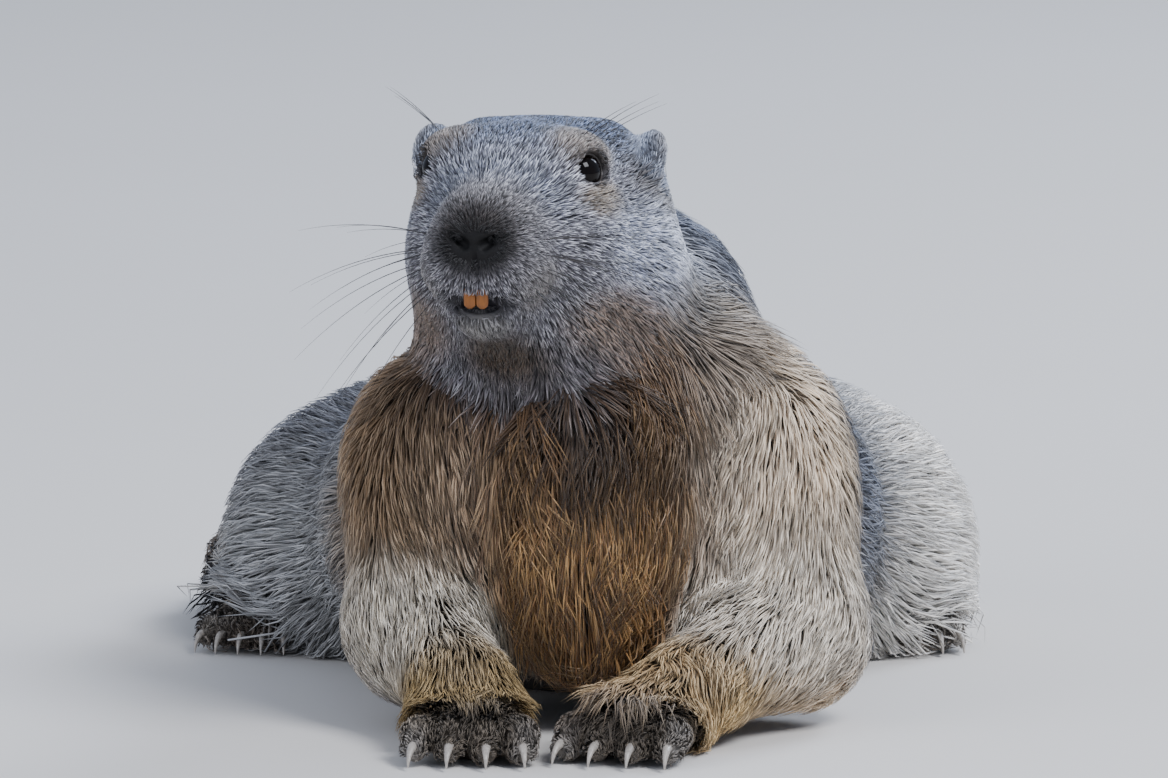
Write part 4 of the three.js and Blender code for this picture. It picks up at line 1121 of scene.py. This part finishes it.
# %% Lids
lid_skin, tree = material("moist_eyelid_skin")
place = add(tree, "ShaderNodeTexCoord")
PORE_SCALE = 2200.0  # one pore is a little under 0.5 mm
pores = add(tree, "ShaderNodeTexNoise", Vector=place.outputs["Object"], Scale=PORE_SCALE, Detail=2.0)
grey = add(tree, "ShaderNodeMix", {"data_type": "RGBA"}, i0=pores.outputs["Fac"],
           i6=rgba("#1f1a19"), i7=rgba("#453e3a"))
fold = add(tree, "ShaderNodeBump", Strength=0.35, Distance=0.0003, Height=pores.outputs["Fac"])
finish_surface(tree, Base_Color=grey.outputs[2], Roughness=0.42, Normal=fold.outputs[0])
LID_WIDE, LID_HIGH = math.tan(math.radians(57)), math.tan(math.radians(46))
LID_RADIUS = 0.0006
LID_SPREAD = 1.04  # the rim's distance from the middle of the eye, in eye radii
rims = []
for s in (-1, 1):
    out, back, up = eye_axes(s)
    turn = np.linspace(0, 2 * math.pi, 49)[:-1, None]
    rim = out + LID_WIDE * np.cos(turn) * back + LID_HIGH * np.sin(turn) * up
    rims.append(from_head((EYE_AT[s] + LID_SPREAD * EYE_RADIUS * unit(rim)).astype(np.float32)))
swept("eyelids", rims, LID_RADIUS, lid_skin, closed=True)

# %% [markdown]
# ## Teeth
# The upper incisors show between the parted lips: two chisels with orange enamel in front, side by side,
# with rounded corners. Enamel is hard and smooth, with faint lines down its length.

# %% Incisors
enamel, tree = material("orange_incisor_enamel")
place = add(tree, "ShaderNodeTexCoord")
stretch = add(tree, "ShaderNodeMapping", Vector=place.outputs["Object"], Scale=(1.0, 1.0, 0.15))
LINE_SCALE = 1500.0  # the lines in the enamel are about 0.7 mm apart
lines = add(tree, "ShaderNodeTexNoise", Vector=stretch.outputs[0], Scale=LINE_SCALE, Detail=2.0)
amber = add(tree, "ShaderNodeMix", {"data_type": "RGBA"}, i0=lines.outputs["Fac"],
            i6=rgba("#5a3009"), i7=rgba("#985a15"))
finish_surface(tree, Base_Color=amber.outputs[2], Roughness=0.34, IOR=1.5)
TOOTH_WIDE, TOOTH_THICK, TOOTH_TOP, TOOTH_TALL = 2.1, 1.25, -30.5, 12.2
points, faces = [], []
sides, rings = 16, 15
turn = np.linspace(0, 2 * math.pi, sides + 1)[:-1]
for s in (-1, 1):
    first = len(points)
    for t in np.linspace(0, 1, rings):
        corner = math.sqrt(max(0.0, 1 - (max(0, t - 0.8) / 0.2) ** 2.6))
        wide = TOOTH_WIDE * (0.35 + 0.65 * corner)
        thick = TOOTH_THICK * (1 - 0.45 * t) * (0.3 + 0.7 * corner)
        for a in turn:
            x = s * (TOOTH_WIDE + 0.08) + wide * np.sign(math.cos(a)) * abs(math.cos(a)) ** 0.6
            y = -91.2 - 0.9 * math.sin(math.pi * t) + thick * np.sign(math.sin(a)) * abs(math.sin(a)) ** 0.6
            points.append((x, y, TOOTH_TOP - TOOTH_TALL * t))
    for r in range(rings - 1):
        for k in range(sides):
            a, b = first + r * sides + k, first + r * sides + (k + 1) % sides
            faces += [(a, a + sides, b), (b, a + sides, b + sides)]
    for end, flip in ((first, False), (first + (rings - 1) * sides, True)):
        for k in range(1, sides - 1):
            faces.append((end, end + k, end + k + 1) if not flip else (end, end + k + 1, end + k))
points = from_head(np.array(points, dtype=np.float32) * 0.001)
teeth = mesh_piece("incisor_pair", points, np.array(faces), enamel)
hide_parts("incisors")
print("incisors:", len(faces), "triangles")

# %% [markdown]
# ## Claws
# Digging claws are grey-brown horn, paler and worn at the tip, with growth lines along them. Each follows a
# line that leaves the toe, arches and comes down near the floor.

# %% Claws
horn, tree = material("worn_claw_horn")
place = add(tree, "ShaderNodeTexCoord")
GROWTH_SCALE = 900.0  # growth marks are about 1.1 mm apart
growth = add(tree, "ShaderNodeTexNoise", Vector=place.outputs["Object"], Scale=GROWTH_SCALE, Detail=4.0)
mottle_and_painted_shade = add(tree, "ShaderNodeMix", {"data_type": "RGBA"}, i0=growth.outputs["Fac"],
           i6=rgba("#6a625b"), i7=rgba("#c4bdb2"))
ridge = add(tree, "ShaderNodeBump", Strength=0.3, Distance=0.0002, Height=growth.outputs["Fac"])
finish_surface(tree, Base_Color=mottle_and_painted_shade.outputs[2], Roughness=0.38, IOR=1.54, Normal=ridge.outputs[0])
CLAW_STEPS = 12
for limb, long, thick in (("forepaw", 13, 2.1), ("hindfoot", 10, 1.6)):
    lines = []
    for name, (centre, heading, toes, palm, reach, pitch, _) in PAWS.items():
        if not name.startswith(limb):
            continue
        for knuckle, fan, far in paw_lines(centre, heading, toes, palm[1], reach, pitch)[2]:
            t = np.linspace(-0.25, 1, CLAW_STEPS)[:, None]
            line = knuckle + fan * (0.9 * far + 0.001 * long * np.sin(1.3 * t))
            line[:, 2] = 0.001 * (6.8 + 1.8 * np.sin(2.2 * t[:, 0]) - 7.0 * np.maximum(t[:, 0], 0) ** 2)
            lines.append(line)
    swept(limb + "_claws", lines, 0.001 * thick, horn, tip=0.12, lateness=1.8)

# %% [markdown]
# ## Whiskers
# Whiskers are single stiff hairs, black and smooth, on the pads beside the nose and above the eyes. They
# leave the skin in rows, bend in one clean arc and end in a fine point.

# %% Whiskers
bristle, tree = material("black_whisker_keratin")
place = add(tree, "ShaderNodeTexCoord")
faint = add(tree, "ShaderNodeTexNoise", Vector=place.outputs["Object"], Scale=300.0)
ink = add(tree, "ShaderNodeMix", {"data_type": "RGBA"}, i0=faint.outputs["Fac"],
          i6=rgba("#0f0d0d"), i7=rgba("#2e2928"))
finish_surface(tree, Base_Color=ink.outputs[2], Roughness=0.35)
WHISKER_RADIUS = 0.00021
whisk = np.random.default_rng(3)
lines = []


def bent(start, way, long, sag, count):
    t = np.linspace(0, 1, count)[:, None]
    return from_head((start + t * long * way + t**2 * long * sag).astype(np.float32))


for s in (-1, 1):
    for i in range(17):
        row, file = i % 5, i // 5
        start = mm(s * (15.5 - 1.2 * file), -86 + 5.5 * file, -19 - 3.6 * row)
        long = 0.001 * whisk.uniform(42, 72) * (1 - 0.08 * file)
        back, up = 0.28 + whisk.uniform(-0.1, 0.35), 0.22 - 0.24 * row + whisk.uniform(-0.12, 0.12)
        way = np.array([s, back, up]) / math.hypot(s, back, up)
        lines.append(bent(start, way, long, np.array([0, 0.18, -0.22 + 0.1 * way[2]]), 12))
    for i in range(4):
        start = mm(s * (23 + i), -52 + 4 * i, 17)
        long = 0.001 * whisk.uniform(20, 30)
        way = np.array([0.75 * s, -0.15 + 0.2 * i, 0.75])
        lines.append(bent(start, way, long, np.array([0.15 * s, 0.2, -0.1]), 10))
swept("whiskers", lines, WHISKER_RADIUS, bristle, tip=0.12, sides=5)
